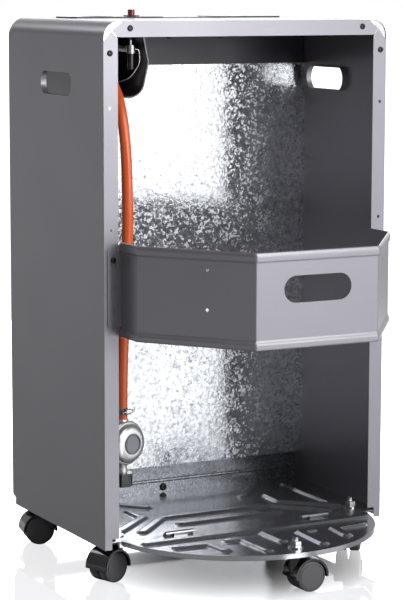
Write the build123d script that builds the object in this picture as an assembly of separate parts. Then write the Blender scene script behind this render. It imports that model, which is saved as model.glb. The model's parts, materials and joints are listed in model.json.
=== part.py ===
from build123d import *
import math
import os

# Portable gas cabinet heater on five twin-wheel casters. Millimetres.
# Origin: on the floor under the middle of the object. +Z up. The open rear, where the
# bottle goes in, faces +Y; the burner faces -Y. Seen from the rear, +X is on the left.

# ---- cabinet ----
WIDTH = 418.0
SHELL_DEPTH = 296.0
PANEL_HEIGHT = 680.0
FLOOR_GAP = 47.0          # floor to the lower edge of the side panels
REAR_Y = 68.0             # outer face of the rear flanges
SHEET = 1.0               # steel sheet of the cabinet and of its panels
CORNER_R = 20.0
REAR_FLANGE = 20.0
FRONT_FLANGE = 12.0
MITRE_IN = 12.0           # where the mitre between post and top flange opens out
MITRE_RELIEF = 28.0
MITRE_GAP = 1.6
NOTCH_HEIGHT = 14.0
NOTCH_FLANGE = 10.0
SEAM_GAP = 0.3

# ---- hand slots in the side panels ----
HAND_SLOT_Y = -80.0
HAND_SLOT_UP = 597.0      # above the panels' lower edge
HAND_SLOT_LENGTH = 97.0
HAND_SLOT_HEIGHT = 30.0
HAND_SLOT_BULGE = 8.0
HAND_SLOT_RIM = 8.0

# ---- fasteners ----
SCREW_R = 2.0
SCREW_HEAD_R = 4.0
SCREW_HEAD = 2.2
COVER_HOLE_R = 2.0
COVER_HOLE_SIDE = 9.0     # hole centre to the outer side face
COVER_HOLE_UPS = (416.0, 571.0)
POST_SCREW_UP = 640.0
STRIP_SCREW_DOWN = 9.0
STRIP_SCREW_SIDE = 37.5

# ---- front panel and burner window ----
FASCIA_DEPTH = 10.0
FASCIA_CORNER_R = 25.0
FASCIA_CUT_WIDE = 8.0
FASCIA_CUT_HIGH = 14.0
WINDOW_WIDTH = 340.0
WINDOW_HEIGHT = 216.0
WINDOW_Z = 458.0
WINDOW_R = 12.0
LOUVRE_COLUMNS = 3
LOUVRE_ROWS = 7
LOUVRE_LENGTH = 96.0
LOUVRE_HEIGHT = 6.0
LOUVRE_PITCH = 20.0
LOUVRE_SPACING = 115.0
LOUVRE_LOW_Z = 110.0

# ---- wire guard ----
GUARD_FRAME_R = 3.0
GUARD_WIRE_R = 1.5
GUARD_BAR_R = 2.0
GUARD_STANDOFF = 3.0
GUARD_LAP = 6.0           # axis of the frame outside the window's edge
GUARD_WIRES = 17
GUARD_BARS = 3

# ---- burner ----
REFLECTOR_DEPTH = 45.0
REFLECTOR_GAP = 1.0       # tray to window edge
REFLECTOR_RIM = 10.0
PLAQUE_WIDE = 92.0
PLAQUE_HIGH = 136.0
PLAQUE_THICK = 13.0
PLAQUE_LAP = 2.0          # the tray's window is this much smaller on each side
BURNER_PITCH = 104.0
BURNER_COUNT = 3
HOUSING_WALL = 2.0
HOUSING_DEPTH = 36.0
VENTURI_R = 11.0
VENTURI_WALL = 1.5
VENTURI_LENGTH = 48.0
MANIFOLD_R = 6.0
MANIFOLD_DROP = 22.0      # manifold axis below the venturi mouths
MANIFOLD_OVERHANG = 12.0
BOSS_R = 5.0
BOSS_HEIGHT = 10.0
INJECTOR_R = 6.5
INJECTOR_HEX = 8.0
INJECTOR_TIP = 7.0
INJECTOR_TIP_R = 3.0

# ---- shield, panels ----
SHIELD_GAP = 9.0          # burner housings to the shield's rear face
SHIELD_LAP = 13.0         # over the lower partition
SHIELD_DROP = 64.0        # below the cabinet's top
SHIELD_FLANGE = 15.0
UPPER_LAP = 10.0
PARTITION_AHEAD = 17.0    # of the shield
PARTITION_HIGH = 55.0
PARTITION_FOOT = 7.0
PARTITION_BEAD_UP = 17.0
PARTITION_BEAD_R = 2.5

# ---- base plate and its folding extension ----
PLATE_UP = 10.0           # base plate above the panels' lower edge
PLATE_SHEET = 1.0
PLATE_SKIRT = 8.0
RIB_WIDE = 9.0
RIB_HIGH = 1.6
HINGE_OUT = 2.0           # pin axis behind the rear flanges
HINGE_EDGE_GAP = 0.4
HINGE_RISE = 0.4          # free height between knuckle and plate
PIN_R = 1.5
KNUCKLE_R = 3.0
KNUCKLE_SIDE = 103.0
KNUCKLE_MID = 20.0
KNUCKLE_END = 10.0
KNUCKLE_GAP = 0.4
RUN_FIT = 0.06
EXTENSION_R = 187.0
EXTENSION_CENTRE_IN = 30.0
EXTENSION_RIM = 5.5
EXTENSION_RIM_WALL = 1.2

# ---- casters ----
WHEEL_R = 20.5
WHEEL_WIDE = 15.0
WHEEL_HUB_GAP = 2.0       # half the space between the two wheels
HOOD_CLEAR = 0.7
HOOD_WALL = 2.8
HOOD_OVER = 1.0           # hood wider than the wheels, each side
HOOD_DROP = 5.0           # degrees that the hood reaches below the axle
WEB_WIDE = 3.0
AXLE_R = 2.5
TRAIL = 15.0
STEM_R = 4.0
STEM_COLLAR_R = 7.5
STEM_COLLAR = 2.0
STEM_LOW = 40.3
STUD_UP = 14.0            # stud top above the plate
CASTER_BOSS_R = 9.0
CASTER_BOSS_GAP = 0.4
NUT_FLANGE_R = 10.0
NUT_FLANGE = 2.0
NUT_R = 8.0
NUT_HIGH = 9.0
CASTER_SIDE_IN = 29.8     # stems inside the cabinet's faces
CASTER_REAR_IN = 30.0
CASTER_FRONT_IN = 46.0
CASTER_OUT = 128.0        # the extension's stem behind the hinge
# direction in which each caster's wheels trail, degrees from +X
CASTER_TURNS = {
    "rear_left": 20.4,
    "rear_right": 53.0,
    "front_left": -11.5,
    "front_right": 159.6,
    "extension": 180.0,
}

# ---- bottle guard band ----
BAND_SHEET = 1.2
BAND_HEM_PROUD = 2.0
BAND_HEM = 12.0
BAND_LOW = 326.0
BAND_HEIGHT = 122.0
BAND_FACE_X = 89.0
BAND_OUT = 182.0          # outer face of the middle panel behind the rear flanges
BAND_CORNER_IN = 21.0     # outer side face inside the cabinet's
BAND_CORNER_OUT = 50.0
BAND_BEND_R = 5.0
TAB_IN = 4.0              # tab's edge inside the cabinet's side
TAB_ABOVE = 13.0          # tab above the band's lower edge
TAB_BELOW = 9.0           # tab below its upper edge
TAB_GAP = 0.3
BAND_SLOT_LENGTH = 97.0
BAND_SLOT_HEIGHT = 34.0
BAND_SLOT_UP = 74.0
BAND_HOLE_R = 2.2
BAND_HOLE_UPS = (47.0, 97.0)
BAND_HOLE_ALONG = 0.59
KEY_IN = 12.0
KEY_UP = 99.5
KEY_LIFT = 7.5
KEY_SLOT_R = 2.3
KEY_HOLE_R = 4.3
TAB_HOLE_UPS = (63.6, 34.0)

# ---- controls ----
KNOB_X = 100.0
CONTROL_IN = 46.0         # knob and button behind the shell's front edge
BUTTON_X = 49.0
TRIM_LEFT_X = 152.0
TRIM_RIGHT_X = -173.0
TRIM_HALF_DEPTH = 30.0
TRIM_THICK = 1.0
PAD_THICK = 2.0
PAD_LEFT_END = 12.0
PAD_RIGHT_START = -67.0
CUP_R = 24.0
CUP_WALL = 2.0
CUP_DEPTH = 19.0          # below the cabinet's top face
KNOB_R = 17.5
KNOB_SKIRT = 3.0
KNOB_BODY_R = 14.5
KNOB_HEIGHT = 10.5
KNOB_GRIP_UP = 3.0        # grip above the round body
KNOB_ROOF = 2.3
KNOB_ROUND = 1.2
KNOB_GRIP = 8.0
KNOB_TRAVEL = 4.0
SPINDLE_R = 4.0
SPINDLE_IN = 23.7         # into the valve
SPINDLE_GAP = 0.2
VALVE_WIDE = 52.0
VALVE_DEEP = 42.0
VALVE_SIDE = 2.0          # body's middle beside the spindle
VALVE_CORNER_R = 5.0
VALVE_DROP = 31.0         # below the cabinet's top
VALVE_TALL = 56.0
VALVE_NECK_R = 9.0
VALVE_THREAD_R = 6.0
BUTTON_R = 5.0
BUTTON_PROUD = 11.5
BUTTON_DEEP = 15.0        # both from the cabinet's top
BUTTON_ROUND = 0.8
BUTTON_TRAVEL = 6.0
IGNITER_R = 8.5
IGNITER_COLLAR_R = 11.0
IGNITER_COLLAR = 1.5
IGNITER_DEEP = 37.0
IGNITER_NUT = 4.0

# ---- valve housing bowl ----
BOWL_AHEAD = 35.0         # of the spindle
BOWL_REACH = 70.0         # behind the spindle
BOWL_WALL = 2.0
BOWL_DROP = 20.0          # below the valve
BOWL_BULGE_UP = 28.0      # above the valve's underside
BOWL_TOP_HALF = 32.0
BOWL_BULGE_HALF = 44.0
BOWL_LOW_HALF = 33.0
BOWL_LOW_R = 24.0
BOWL_CLEAR = 1.5

# ---- gas hose: points of its route, top to bottom ----
HOSE_R = 7.5
HOSE_ROUTE = (
    (118.5, -138.0, 664.0),
    (118.5, -103.0, 649.0),
    (118.5, -75.0, 620.0),
    (118.5, -59.0, 578.0),
    (118.3, -52.0, 520.0),
    (118.0, -51.5, 430.0),
    (124.0, -51.0, 325.0),
    (127.3, -51.5, 249.0),
    (127.3, -51.5, 193.0),
)
CLAMP_WALL = 0.8
CLAMP_WIDE = 9.0
CLAMP_FIT = 0.05
CLAMP_FROM_END = 11.0
TAIL_FLANGE = 2.0
TAIL_HEX_R = 8.0
TAIL_HEX = 10.0
TAIL_BOSS_R = 8.0
TAIL_BOSS = 26.0
TAIL_SIDE = 18.5          # hose end from the spindle and the valve's underside
TAIL_BACK = 44.0
TAIL_UP = 24.0
TAIL_DIRECTION = (0.0, -35.0, 15.0)   # from the hose's end into the valve

# ---- regulator ----
REGULATOR_TURN = 108.6    # direction that its disc faces, degrees from +X
DISC_Z = 161.0
DISC_R = 30.0
DISC_RIM = 6.5
DISC_OUT = 10.7           # rim plane ahead of the hose axis
DOME_HIGH = 10.0
DOME_R = 16.0
CAP_R = 14.0
CAP_THICK = 2.5
BARREL_R = 9.0
BARREL_LOW = 131.0
NECK_R = 6.5
NECK_LOW = 111.0
NECK_FLANGE_R = 10.2
NECK_FLANGE = 1.7
NUT_LOW = 101.0
NUT_TOP = 119.0
UNION_NUT_R = 15.6
UNION_THREAD_R = 10.9
UNION_THREAD = 9.0
UNION_RELIEF_R = 11.8
UNION_RELIEF_TOP = 113.0

# ---- pilot group ----
PILOT_IN = 9.0            # burner head inside the tray's side
PILOT_AHEAD = 20.0        # of the tray's back
PILOT_DROP = 8.0          # shelf below the window's middle
PILOT_SHELF_OUT = 7.0
PILOT_HEAD = 26.0
PILOT_HEAD_IN = 2.0
PILOT_HEAD_R = 4.0
CERAMIC_R = 3.0
PROBE_R = 2.5
TUBE_R = 3.0
PILOT_TUBE_R = 1.5
LEAD_R = 1.25
WIRE_R = 0.9
CERAMIC_IN = 4.0          # below the shelf
CERAMIC_UP = 16.0
SPARK_TIP_UP = 30.0
SPARK_TIP_R = 1.0
SPARK_SIDE = 9.0          # from the burner head
PROBE_SIDE = 6.0
PROBE_BACK = 9.0
PROBE_UP = 34.0
PILOT_TUBE_UP = 10.0      # above the shelf
SPARK_LEAD_DOWN = 23.0    # below the shelf
PROBE_LEAD_DOWN = 34.0
LEAD_PITCH = 4.0          # between the runs beside the tray
LEADS_UP = 15.0           # lowest cross run above the tray
LEADS_STEP = 8.0
LEADS_FALL = 70.0

HALF = WIDTH / 2
INNER = HALF - SHEET
TOP_Z = FLOOR_GAP + PANEL_HEIGHT
UNDER_TOP = TOP_Z - SHEET
SHELL_FRONT = REAR_Y - SHELL_DEPTH
FASCIA_Y = SHELL_FRONT - FASCIA_DEPTH
REFLECTOR_BACK = FASCIA_Y + SHEET + REFLECTOR_DEPTH
POST_INNER = HALF - REAR_FLANGE
SIDES = (-1, 1)
PLATE_TOP = FLOOR_GAP + PLATE_UP
PLATE_LOW = PLATE_TOP - PLATE_SHEET
HINGE_Y = REAR_Y + HINGE_OUT
HINGE_Z = PLATE_TOP + KNUCKLE_R + HINGE_RISE
GUARD_WIDE = WINDOW_WIDTH + 2 * GUARD_LAP
GUARD_HIGH = WINDOW_HEIGHT + 2 * GUARD_LAP
SHIELD_Y = REFLECTOR_BACK + HOUSING_DEPTH + SHIELD_GAP
SHIELD_HIGH = TOP_Z - SHIELD_DROP
PARTITION_Y = SHIELD_Y - PARTITION_AHEAD
PARTITION_TOP = PLATE_TOP + PARTITION_HIGH
SHIELD_LOW = PARTITION_TOP - SHIELD_LAP
PARTITION_BEAD_Z = PLATE_TOP + PARTITION_BEAD_UP
CONTROL_Y = SHELL_FRONT + CONTROL_IN
VALVE_HIGH = TOP_Z - VALVE_DROP
VALVE_LOW = VALVE_HIGH - VALVE_TALL
SPINDLE_LOW = VALVE_HIGH - SPINDLE_IN
KNOB_LOW = TOP_Z - CUP_DEPTH + CUP_WALL + KNOB_TRAVEL + 0.5
KNOB_TOP = KNOB_LOW + KNOB_HEIGHT
BUTTON_TOP = TOP_Z + BUTTON_PROUD
BUTTON_LOW = TOP_Z - BUTTON_DEEP
IGNITER_LOW = TOP_Z - IGNITER_DEEP
BOWL_BACK_Y = CONTROL_Y - BOWL_AHEAD
BOWL_RIM_Y = CONTROL_Y + BOWL_REACH
BOWL_LOW = VALVE_LOW - BOWL_DROP
BOWL_BULGE_Z = VALVE_LOW + BOWL_BULGE_UP
EXTENSION_CENTRE_Y = REAR_Y - EXTENSION_CENTRE_IN
BAND_HIGH = BAND_LOW + BAND_HEIGHT
BAND_CORNER_X = HALF - BAND_CORNER_IN
BAND_CORNER_Y = REAR_Y + BAND_CORNER_OUT
BAND_FACE_Y = REAR_Y + BAND_OUT
TAB_OUT_X = HALF - TAB_IN
TAB_LOW = BAND_LOW + TAB_ABOVE
TAB_HIGH = BAND_HIGH - TAB_BELOW
KEY_X = HALF - KEY_IN
KEY_Z = BAND_LOW + KEY_UP


def stem_places():
    """Where each caster's stem stands, as (x, y)."""
    x = HALF - CASTER_SIDE_IN
    rear = REAR_Y - CASTER_REAR_IN
    front = SHELL_FRONT + CASTER_FRONT_IN
    return {
        "rear_left": (x, rear),
        "rear_right": (-x, rear),
        "front_left": (x, front),
        "front_right": (-x, front),
        "extension": (0.0, HINGE_Y + CASTER_OUT),
    }


STEMS = stem_places()


# ---- small helpers ----
def block(x0, x1, y0, y1, z0, z1):
    """A box between two corners."""
    place = Pos((x0 + x1) / 2, (y0 + y1) / 2, (z0 + z1) / 2)
    return place * Box(x1 - x0, y1 - y0, z1 - z0)


def rod(x, y, z0, z1, r):
    """An upright cylinder."""
    return Pos(x, y, (z0 + z1) / 2) * Cylinder(r, z1 - z0)


def rod_along(start, direction, length, r):
    """A cylinder that starts at a point and runs along a direction."""
    return extrude(Plane(origin=start, z_dir=direction) * Circle(r), length)


def hex_along(start, direction, length, r):
    """A hexagonal bar that starts at a point and runs along a direction."""
    return extrude(Plane(origin=start, z_dir=direction) * RegularPolygon(r, 6), length)


def slab_y(sketch, y0, y1):
    """A sketch in (x, z), as thick as y0 to y1."""
    return extrude(Plane(origin=(0, y1, 0), x_dir=(1, 0, 0), z_dir=(0, -1, 0)) * sketch, y1 - y0)


def slab_x(sketch, x0, x1):
    """A sketch in (y, z), as thick as x0 to x1."""
    return extrude(Plane(origin=(x0, 0, 0), x_dir=(0, 1, 0), z_dir=(1, 0, 0)) * sketch, x1 - x0)


def slab_z(sketch, z0, z1):
    """A sketch in (x, y), as thick as z0 to z1."""
    return extrude(Pos(0, 0, z0) * sketch, z1 - z0)


def polygon(*points):
    """A flat face through the points."""
    return make_face(Polyline(*points, close=True))


def both_sides(solid):
    """A solid and its mirror image across the middle plane."""
    return solid + mirror(solid, about=Plane.YZ)


def corner_radii(points, least=0.0):
    """For each inner point of a route, the arc that its two runs leave room for."""
    vectors = [Vector(*p) for p in points]
    radii = []
    for before, here, after in zip(vectors, vectors[1:], vectors[2:]):
        turn = math.radians((here - before).get_angle(after - here))
        shorter = min((here - before).length, (after - here).length)
        radii.append(max(0.45 * shorter / math.tan(turn / 2), least))
    return radii


def tube(points, r):
    """A round bar along straight runs and tangent arcs."""
    path = FilletPolyline(*points, radius=corner_radii(points))
    start = Vector(*points[0])
    section = Plane(origin=start, z_dir=Vector(*points[1]) - start) * Circle(r)
    return sweep(section, path=path)


def write(node, shape):
    """One STEP file for one node."""
    shape.label = node
    export_step(shape, f"parts/{node}.step")


# ---- cabinet ----
def arch(half_width, low, high, r):
    """A rectangle whose two upper corners are round."""
    sketch = Pos(0, (low + high) / 2) * Rectangle(2 * half_width, high - low)
    return fillet(sketch.vertices().group_by(Axis.Y)[-1], r)


def hand_slot(grow=0.0):
    """Outline of a hand slot in (y, z), straight above and below, bulging at its ends."""
    half = HAND_SLOT_LENGTH / 2 - HAND_SLOT_BULGE
    high = HAND_SLOT_HEIGHT / 2 + grow
    z = FLOOR_GAP + HAND_SLOT_UP
    tip = HAND_SLOT_LENGTH / 2 + grow
    y = HAND_SLOT_Y
    edges = [
        Line((y - half, z + high), (y + half, z + high)),
        ThreePointArc((y + half, z + high), (y + tip, z), (y + half, z - high)),
        Line((y + half, z - high), (y - half, z - high)),
        ThreePointArc((y - half, z - high), (y - tip, z), (y - half, z + high)),
    ]
    return make_face(edges)


def rear_flange():
    """Posts and top strip, mitred at the corners and cut back around the mitre."""
    outer = arch(HALF, FLOOR_GAP, TOP_Z, CORNER_R)
    bay = Pos(0, (TOP_Z - REAR_FLANGE) / 2) * Rectangle(2 * POST_INNER, TOP_Z - REAR_FLANGE)
    flange = slab_y(outer - bay, REAR_Y - SHEET, REAR_Y)
    relief = polygon(
        (HALF - MITRE_IN, TOP_Z - MITRE_IN), (HALF - MITRE_RELIEF, TOP_Z),
        (HALF - MITRE_RELIEF, TOP_Z + SHEET), (HALF + SHEET, TOP_Z + SHEET),
        (HALF + SHEET, TOP_Z - MITRE_RELIEF), (HALF, TOP_Z - MITRE_RELIEF))
    mitre = Pos(HALF - REAR_FLANGE, TOP_Z - REAR_FLANGE) * Rot(0, 0, 45) * Rectangle(
        2 * REAR_FLANGE, MITRE_GAP)
    cut = slab_y(relief + mitre, REAR_Y - SHEET, REAR_Y)
    notch = block(POST_INNER - SHEET, HALF - NOTCH_FLANGE, REAR_Y - 2 * SHEET, REAR_Y + SHEET,
                  FLOOR_GAP - SHEET, FLOOR_GAP + NOTCH_HEIGHT)
    return flange - both_sides(cut) - both_sides(notch)


def cabinet_shell():
    outer = arch(HALF, FLOOR_GAP, TOP_Z, CORNER_R)
    inner = arch(INNER, FLOOR_GAP - SHEET, UNDER_TOP, CORNER_R - SHEET)
    shell = slab_y(outer - inner, SHELL_FRONT, REAR_Y) + rear_flange()
    front_bay = Pos(0, (TOP_Z - FRONT_FLANGE) / 2) * Rectangle(
        2 * (HALF - FRONT_FLANGE), TOP_Z - FRONT_FLANGE)
    shell += slab_y(outer - front_bay, SHELL_FRONT, SHELL_FRONT + SHEET)
    rim = slab_x(hand_slot(SHEET), HALF - HAND_SLOT_RIM, HALF)
    shell += both_sides(rim)
    shell -= both_sides(slab_x(hand_slot(), HALF - 2 * HAND_SLOT_RIM, HALF + SHEET))
    for x, z, r in flange_holes():
        shell -= rod_along((x, REAR_Y + SHEET, z), (0, -1, 0), 3 * SHEET, r)
    shell -= rod(KNOB_X, CONTROL_Y, UNDER_TOP - SHEET, TOP_Z + SHEET, CUP_R + SEAM_GAP)
    shell -= rod(BUTTON_X, CONTROL_Y, UNDER_TOP - SHEET, TOP_Z + SHEET, IGNITER_R + SEAM_GAP)
    return shell


def bracket_screw_places():
    """Screws that hold the corner brackets, as (x, z)."""
    post = (HALF - COVER_HOLE_SIDE, FLOOR_GAP + POST_SCREW_UP)
    strip = (HALF - STRIP_SCREW_SIDE, TOP_Z - STRIP_SCREW_DOWN)
    return [(side * x, z) for side in SIDES for x, z in (post, strip)]


def flange_holes():
    """Every hole in the rear flanges, as (x, z, radius)."""
    holes = [(x, z, SCREW_R) for x, z in bracket_screw_places()]
    for side in SIDES:
        x = side * (HALF - COVER_HOLE_SIDE)
        holes += [(x, FLOOR_GAP + up, COVER_HOLE_R) for up in COVER_HOLE_UPS]
        holes.append((side * KEY_X, KEY_Z, SCREW_R))
    return holes


def corner_brackets():
    """Two L plates behind the mitres."""
    thick = 1.2
    leg = 18.0
    reach = 50.0
    face = arch(INNER, FLOOR_GAP, UNDER_TOP, CORNER_R - SHEET)
    ell = polygon(
        (INNER - reach, UNDER_TOP), (INNER, UNDER_TOP), (INNER, UNDER_TOP - reach),
        (INNER - leg, UNDER_TOP - reach), (INNER - leg, UNDER_TOP - leg), (INNER - reach, UNDER_TOP - leg))
    plate = slab_y(face & ell, REAR_Y - SHEET - thick, REAR_Y - SHEET)
    plate = both_sides(plate)
    for x, z in bracket_screw_places():
        plate -= rod_along((x, REAR_Y, z), (0, -1, 0), 4 * SHEET, SCREW_R)
    return plate


def pan_screw(x, y, z, shank):
    """A pan head on a rear-facing surface at y, with its shank going in."""
    head = rod_along((x, y, z), (0, 1, 0), SCREW_HEAD, SCREW_HEAD_R)
    head = fillet(head.edges().group_by(Axis.Y)[-1], SCREW_HEAD * 0.6)
    return head + rod_along((x, y, z), (0, -1, 0), shank, SCREW_R)


UPPER_SCREWS = ((8.0, TOP_Z - 25.0), (-73.0, TOP_Z - 25.0))
PARTITION_SCREW = (9.0, PLATE_TOP + 7.0)


def panel_screws():
    screws = [pan_screw(x, REAR_Y, z, 2.2 * SHEET) for x, z in bracket_screw_places()]
    screws += [pan_screw(x, SHIELD_Y - SHEET, z, SHEET) for x, z in UPPER_SCREWS]
    screws.append(pan_screw(PARTITION_SCREW[0], PARTITION_Y, PARTITION_SCREW[1], SHEET))
    return Compound(children=screws)


# ---- front ----
def fascia_outline():
    face = arch(HALF, FLOOR_GAP, TOP_Z, FASCIA_CORNER_R)
    for side in SIDES:
        face -= polygon(
            (side * (HALF - FASCIA_CUT_WIDE), FLOOR_GAP), (side * (HALF + SHEET), FLOOR_GAP - SHEET),
            (side * (HALF + SHEET), FLOOR_GAP + FASCIA_CUT_HIGH), (side * HALF, FLOOR_GAP + FASCIA_CUT_HIGH))
    return face


def front_panel():
    outline = fascia_outline()
    panel = slab_y(outline, FASCIA_Y, SHELL_FRONT)
    panel -= slab_y(offset(outline, amount=-SHEET), FASCIA_Y + SHEET, SHELL_FRONT + SHEET)
    window = Pos(0, WINDOW_Z) * RectangleRounded(WINDOW_WIDTH, WINDOW_HEIGHT, WINDOW_R)
    panel -= slab_y(window, FASCIA_Y - SHEET, FASCIA_Y + 2 * SHEET)
    slots = Sketch()
    for row in range(LOUVRE_ROWS):
        for column in range(LOUVRE_COLUMNS):
            x = (column - (LOUVRE_COLUMNS - 1) / 2) * LOUVRE_SPACING
            z = LOUVRE_LOW_Z + row * LOUVRE_PITCH
            slots += Pos(x, z) * SlotOverall(LOUVRE_LENGTH, LOUVRE_HEIGHT)
    return panel - slab_y(slots, FASCIA_Y - SHEET, FASCIA_Y + 2 * SHEET)


def burner_guard():
    """Round wires, each its own length, that cross and touch where they are welded."""
    y = FASCIA_Y - GUARD_STANDOFF - GUARD_FRAME_R
    low = WINDOW_Z - GUARD_HIGH / 2
    high = WINDOW_Z + GUARD_HIGH / 2
    half = GUARD_WIDE / 2
    clear = half - GUARD_FRAME_R
    wires = [rod(x, y, low - GUARD_FRAME_R, high + GUARD_FRAME_R, GUARD_FRAME_R) for x in (-half, half)]
    wires += [rod_along((-clear, y, z), (1, 0, 0), 2 * clear, GUARD_FRAME_R) for z in (low, high)]
    foot_side = half - 2 * WINDOW_R
    foot_start = y + GUARD_FRAME_R
    for x, z in [(x, z) for x in (-foot_side, foot_side) for z in (low, high)]:
        wires.append(rod_along((x, foot_start, z), (0, 1, 0), FASCIA_Y - foot_start, GUARD_WIRE_R))
    wire_y = y - GUARD_FRAME_R - GUARD_WIRE_R
    step = GUARD_WIDE / (GUARD_WIRES + 1)
    for index in range(GUARD_WIRES):
        wires.append(rod(-half + (index + 1) * step, wire_y, low, high, GUARD_WIRE_R))
    bar_y = wire_y + GUARD_WIRE_R + GUARD_BAR_R
    for index in range(GUARD_BARS):
        z = low + (index + 1) * GUARD_HIGH / (GUARD_BARS + 1)
        wires.append(rod_along((-clear, bar_y, z), (1, 0, 0), 2 * clear, GUARD_BAR_R))
    return Compound(children=wires)


# ---- burner ----
def burner_places():
    return [(index - (BURNER_COUNT - 1) / 2) * BURNER_PITCH for index in range(BURNER_COUNT)]


TRAY_WIDE = WINDOW_WIDTH - 2 * REFLECTOR_GAP
TRAY_HIGH = WINDOW_HEIGHT - 2 * REFLECTOR_GAP
TRAY_FRONT = FASCIA_Y + SHEET


def burner_reflector():
    outer = Pos(0, WINDOW_Z) * RectangleRounded(TRAY_WIDE, TRAY_HIGH, WINDOW_R)
    rim = Pos(0, WINDOW_Z) * RectangleRounded(
        TRAY_WIDE + 2 * REFLECTOR_RIM, TRAY_HIGH + 2 * REFLECTOR_RIM, WINDOW_R)
    tray = slab_y(rim, TRAY_FRONT, TRAY_FRONT + SHEET) + slab_y(outer, TRAY_FRONT, REFLECTOR_BACK)
    tray -= slab_y(offset(outer, amount=-SHEET), TRAY_FRONT - SHEET, REFLECTOR_BACK - SHEET)
    for x in burner_places():
        tray -= block(x - PLAQUE_WIDE / 2 + PLAQUE_LAP, x + PLAQUE_WIDE / 2 - PLAQUE_LAP,
                      REFLECTOR_BACK - 2 * SHEET, REFLECTOR_BACK + SHEET,
                      WINDOW_Z - PLAQUE_HIGH / 2 + PLAQUE_LAP, WINDOW_Z + PLAQUE_HIGH / 2 - PLAQUE_LAP)
    for z, r in ((PILOT_TUBE_Z, PILOT_TUBE_R), (SPARK_LEAD_Z, LEAD_R), (PROBE_LEAD_Z, WIRE_R)):
        tray -= rod_along((-TRAY_WIDE / 2 - SHEET, PILOT_Y, z), (1, 0, 0), 3 * SHEET, r + 2 * SEAM_GAP)
    return tray


def burner_housings():
    """Three pressed boxes, each with its mixing tube underneath."""
    half_wide = PLAQUE_WIDE / 2
    half_high = PLAQUE_HIGH / 2
    back = REFLECTOR_BACK + HOUSING_DEPTH
    housings = []
    for x in burner_places():
        body = block(x - half_wide - HOUSING_WALL, x + half_wide + HOUSING_WALL, REFLECTOR_BACK, back,
                     WINDOW_Z - half_high - HOUSING_WALL, WINDOW_Z + half_high + HOUSING_WALL)
        body += rod(x, VENTURI_Y, VENTURI_MOUTH, WINDOW_Z - half_high - HOUSING_WALL, VENTURI_R)
        body -= block(x - half_wide, x + half_wide, REFLECTOR_BACK, back - HOUSING_WALL,
                      WINDOW_Z - half_high, WINDOW_Z + half_high)
        body -= rod(x, VENTURI_Y, VENTURI_MOUTH, WINDOW_Z - half_high, VENTURI_R - VENTURI_WALL)
        housings.append(body)
    return Compound(children=housings)


VENTURI_Y = REFLECTOR_BACK + HOUSING_DEPTH / 2 + 2
VENTURI_MOUTH = WINDOW_Z - PLAQUE_HIGH / 2 - HOUSING_WALL - VENTURI_LENGTH
MANIFOLD_Z = VENTURI_MOUTH - MANIFOLD_DROP


def ceramic_plaques():
    plaques = [
        block(x - PLAQUE_WIDE / 2, x + PLAQUE_WIDE / 2, REFLECTOR_BACK, REFLECTOR_BACK + PLAQUE_THICK,
              WINDOW_Z - PLAQUE_HIGH / 2, WINDOW_Z + PLAQUE_HIGH / 2)
        for x in burner_places()]
    return Compound(children=plaques)


def injector_manifold():
    reach = BURNER_PITCH * (BURNER_COUNT - 1) / 2 + MANIFOLD_OVERHANG
    bar = rod_along((-reach, VENTURI_Y, MANIFOLD_Z), (1, 0, 0), 2 * reach, MANIFOLD_R)
    for x in burner_places():
        bar += rod(x, VENTURI_Y, MANIFOLD_Z, MANIFOLD_Z + BOSS_HEIGHT, BOSS_R)
    return bar + rod_along((KNOB_X, VENTURI_Y, MANIFOLD_Z), (0, 1, 0), MANIFOLD_R + 1, BOSS_R)


def injectors():
    base = MANIFOLD_Z + BOSS_HEIGHT
    jets = []
    for x in burner_places():
        jet = hex_along((x, VENTURI_Y, base), (0, 0, 1), INJECTOR_HEX, INJECTOR_R)
        jets.append(jet + rod(x, VENTURI_Y, base, base + INJECTOR_HEX + INJECTOR_TIP, INJECTOR_TIP_R))
    return Compound(children=jets)


SUPPLY_Y = (REFLECTOR_BACK + HOUSING_DEPTH + SHIELD_Y - SHEET) / 2


def supply_route():
    """From the valve's underside, down behind the burner, into the manifold."""
    bend_high, bend_low = VALVE_LOW - 50.0, VALVE_LOW - 90.0
    return [
        (KNOB_X, CONTROL_Y, VALVE_LOW), (KNOB_X, CONTROL_Y, bend_high), (KNOB_X, SUPPLY_Y, bend_low),
        (KNOB_X, SUPPLY_Y, MANIFOLD_Z), (KNOB_X, VENTURI_Y + MANIFOLD_R + 1, MANIFOLD_Z)]


# Pilot group on the tray's right-hand wall; its tube and leads run up beside the tray,
# across above it and into the valve's housing.
PILOT_X = PILOT_IN - TRAY_WIDE / 2
PILOT_Y = REFLECTOR_BACK - PILOT_AHEAD
PILOT_SHELF_Z = WINDOW_Z - PILOT_DROP
PILOT_TUBE_Z = PILOT_SHELF_Z + PILOT_TUBE_UP
SPARK_LEAD_Z = PILOT_SHELF_Z - SPARK_LEAD_DOWN
PROBE_LEAD_Z = PILOT_SHELF_Z - PROBE_LEAD_DOWN
SPARK_X = PILOT_X + SPARK_SIDE
PROBE_X = PILOT_X + PROBE_SIDE
PROBE_Y = PILOT_Y + PROBE_BACK
LEADS_X = -(TRAY_WIDE / 2 + INNER) / 2
PILOT_RUN_X = LEADS_X + 2.5
SPARK_RUN_X = PILOT_RUN_X - LEAD_PITCH
PROBE_RUN_X = SPARK_RUN_X - LEAD_PITCH
LEADS_Z = WINDOW_Z + TRAY_HIGH / 2 + LEADS_UP
PILOT_OUTLET_X = KNOB_X - 10.0
PILOT_OUTLET_Y = CONTROL_Y - 8.0
SPARK_RUN_Y = CONTROL_Y + 4.0
PROBE_RUN_Y = CONTROL_Y + 14.0


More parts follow.
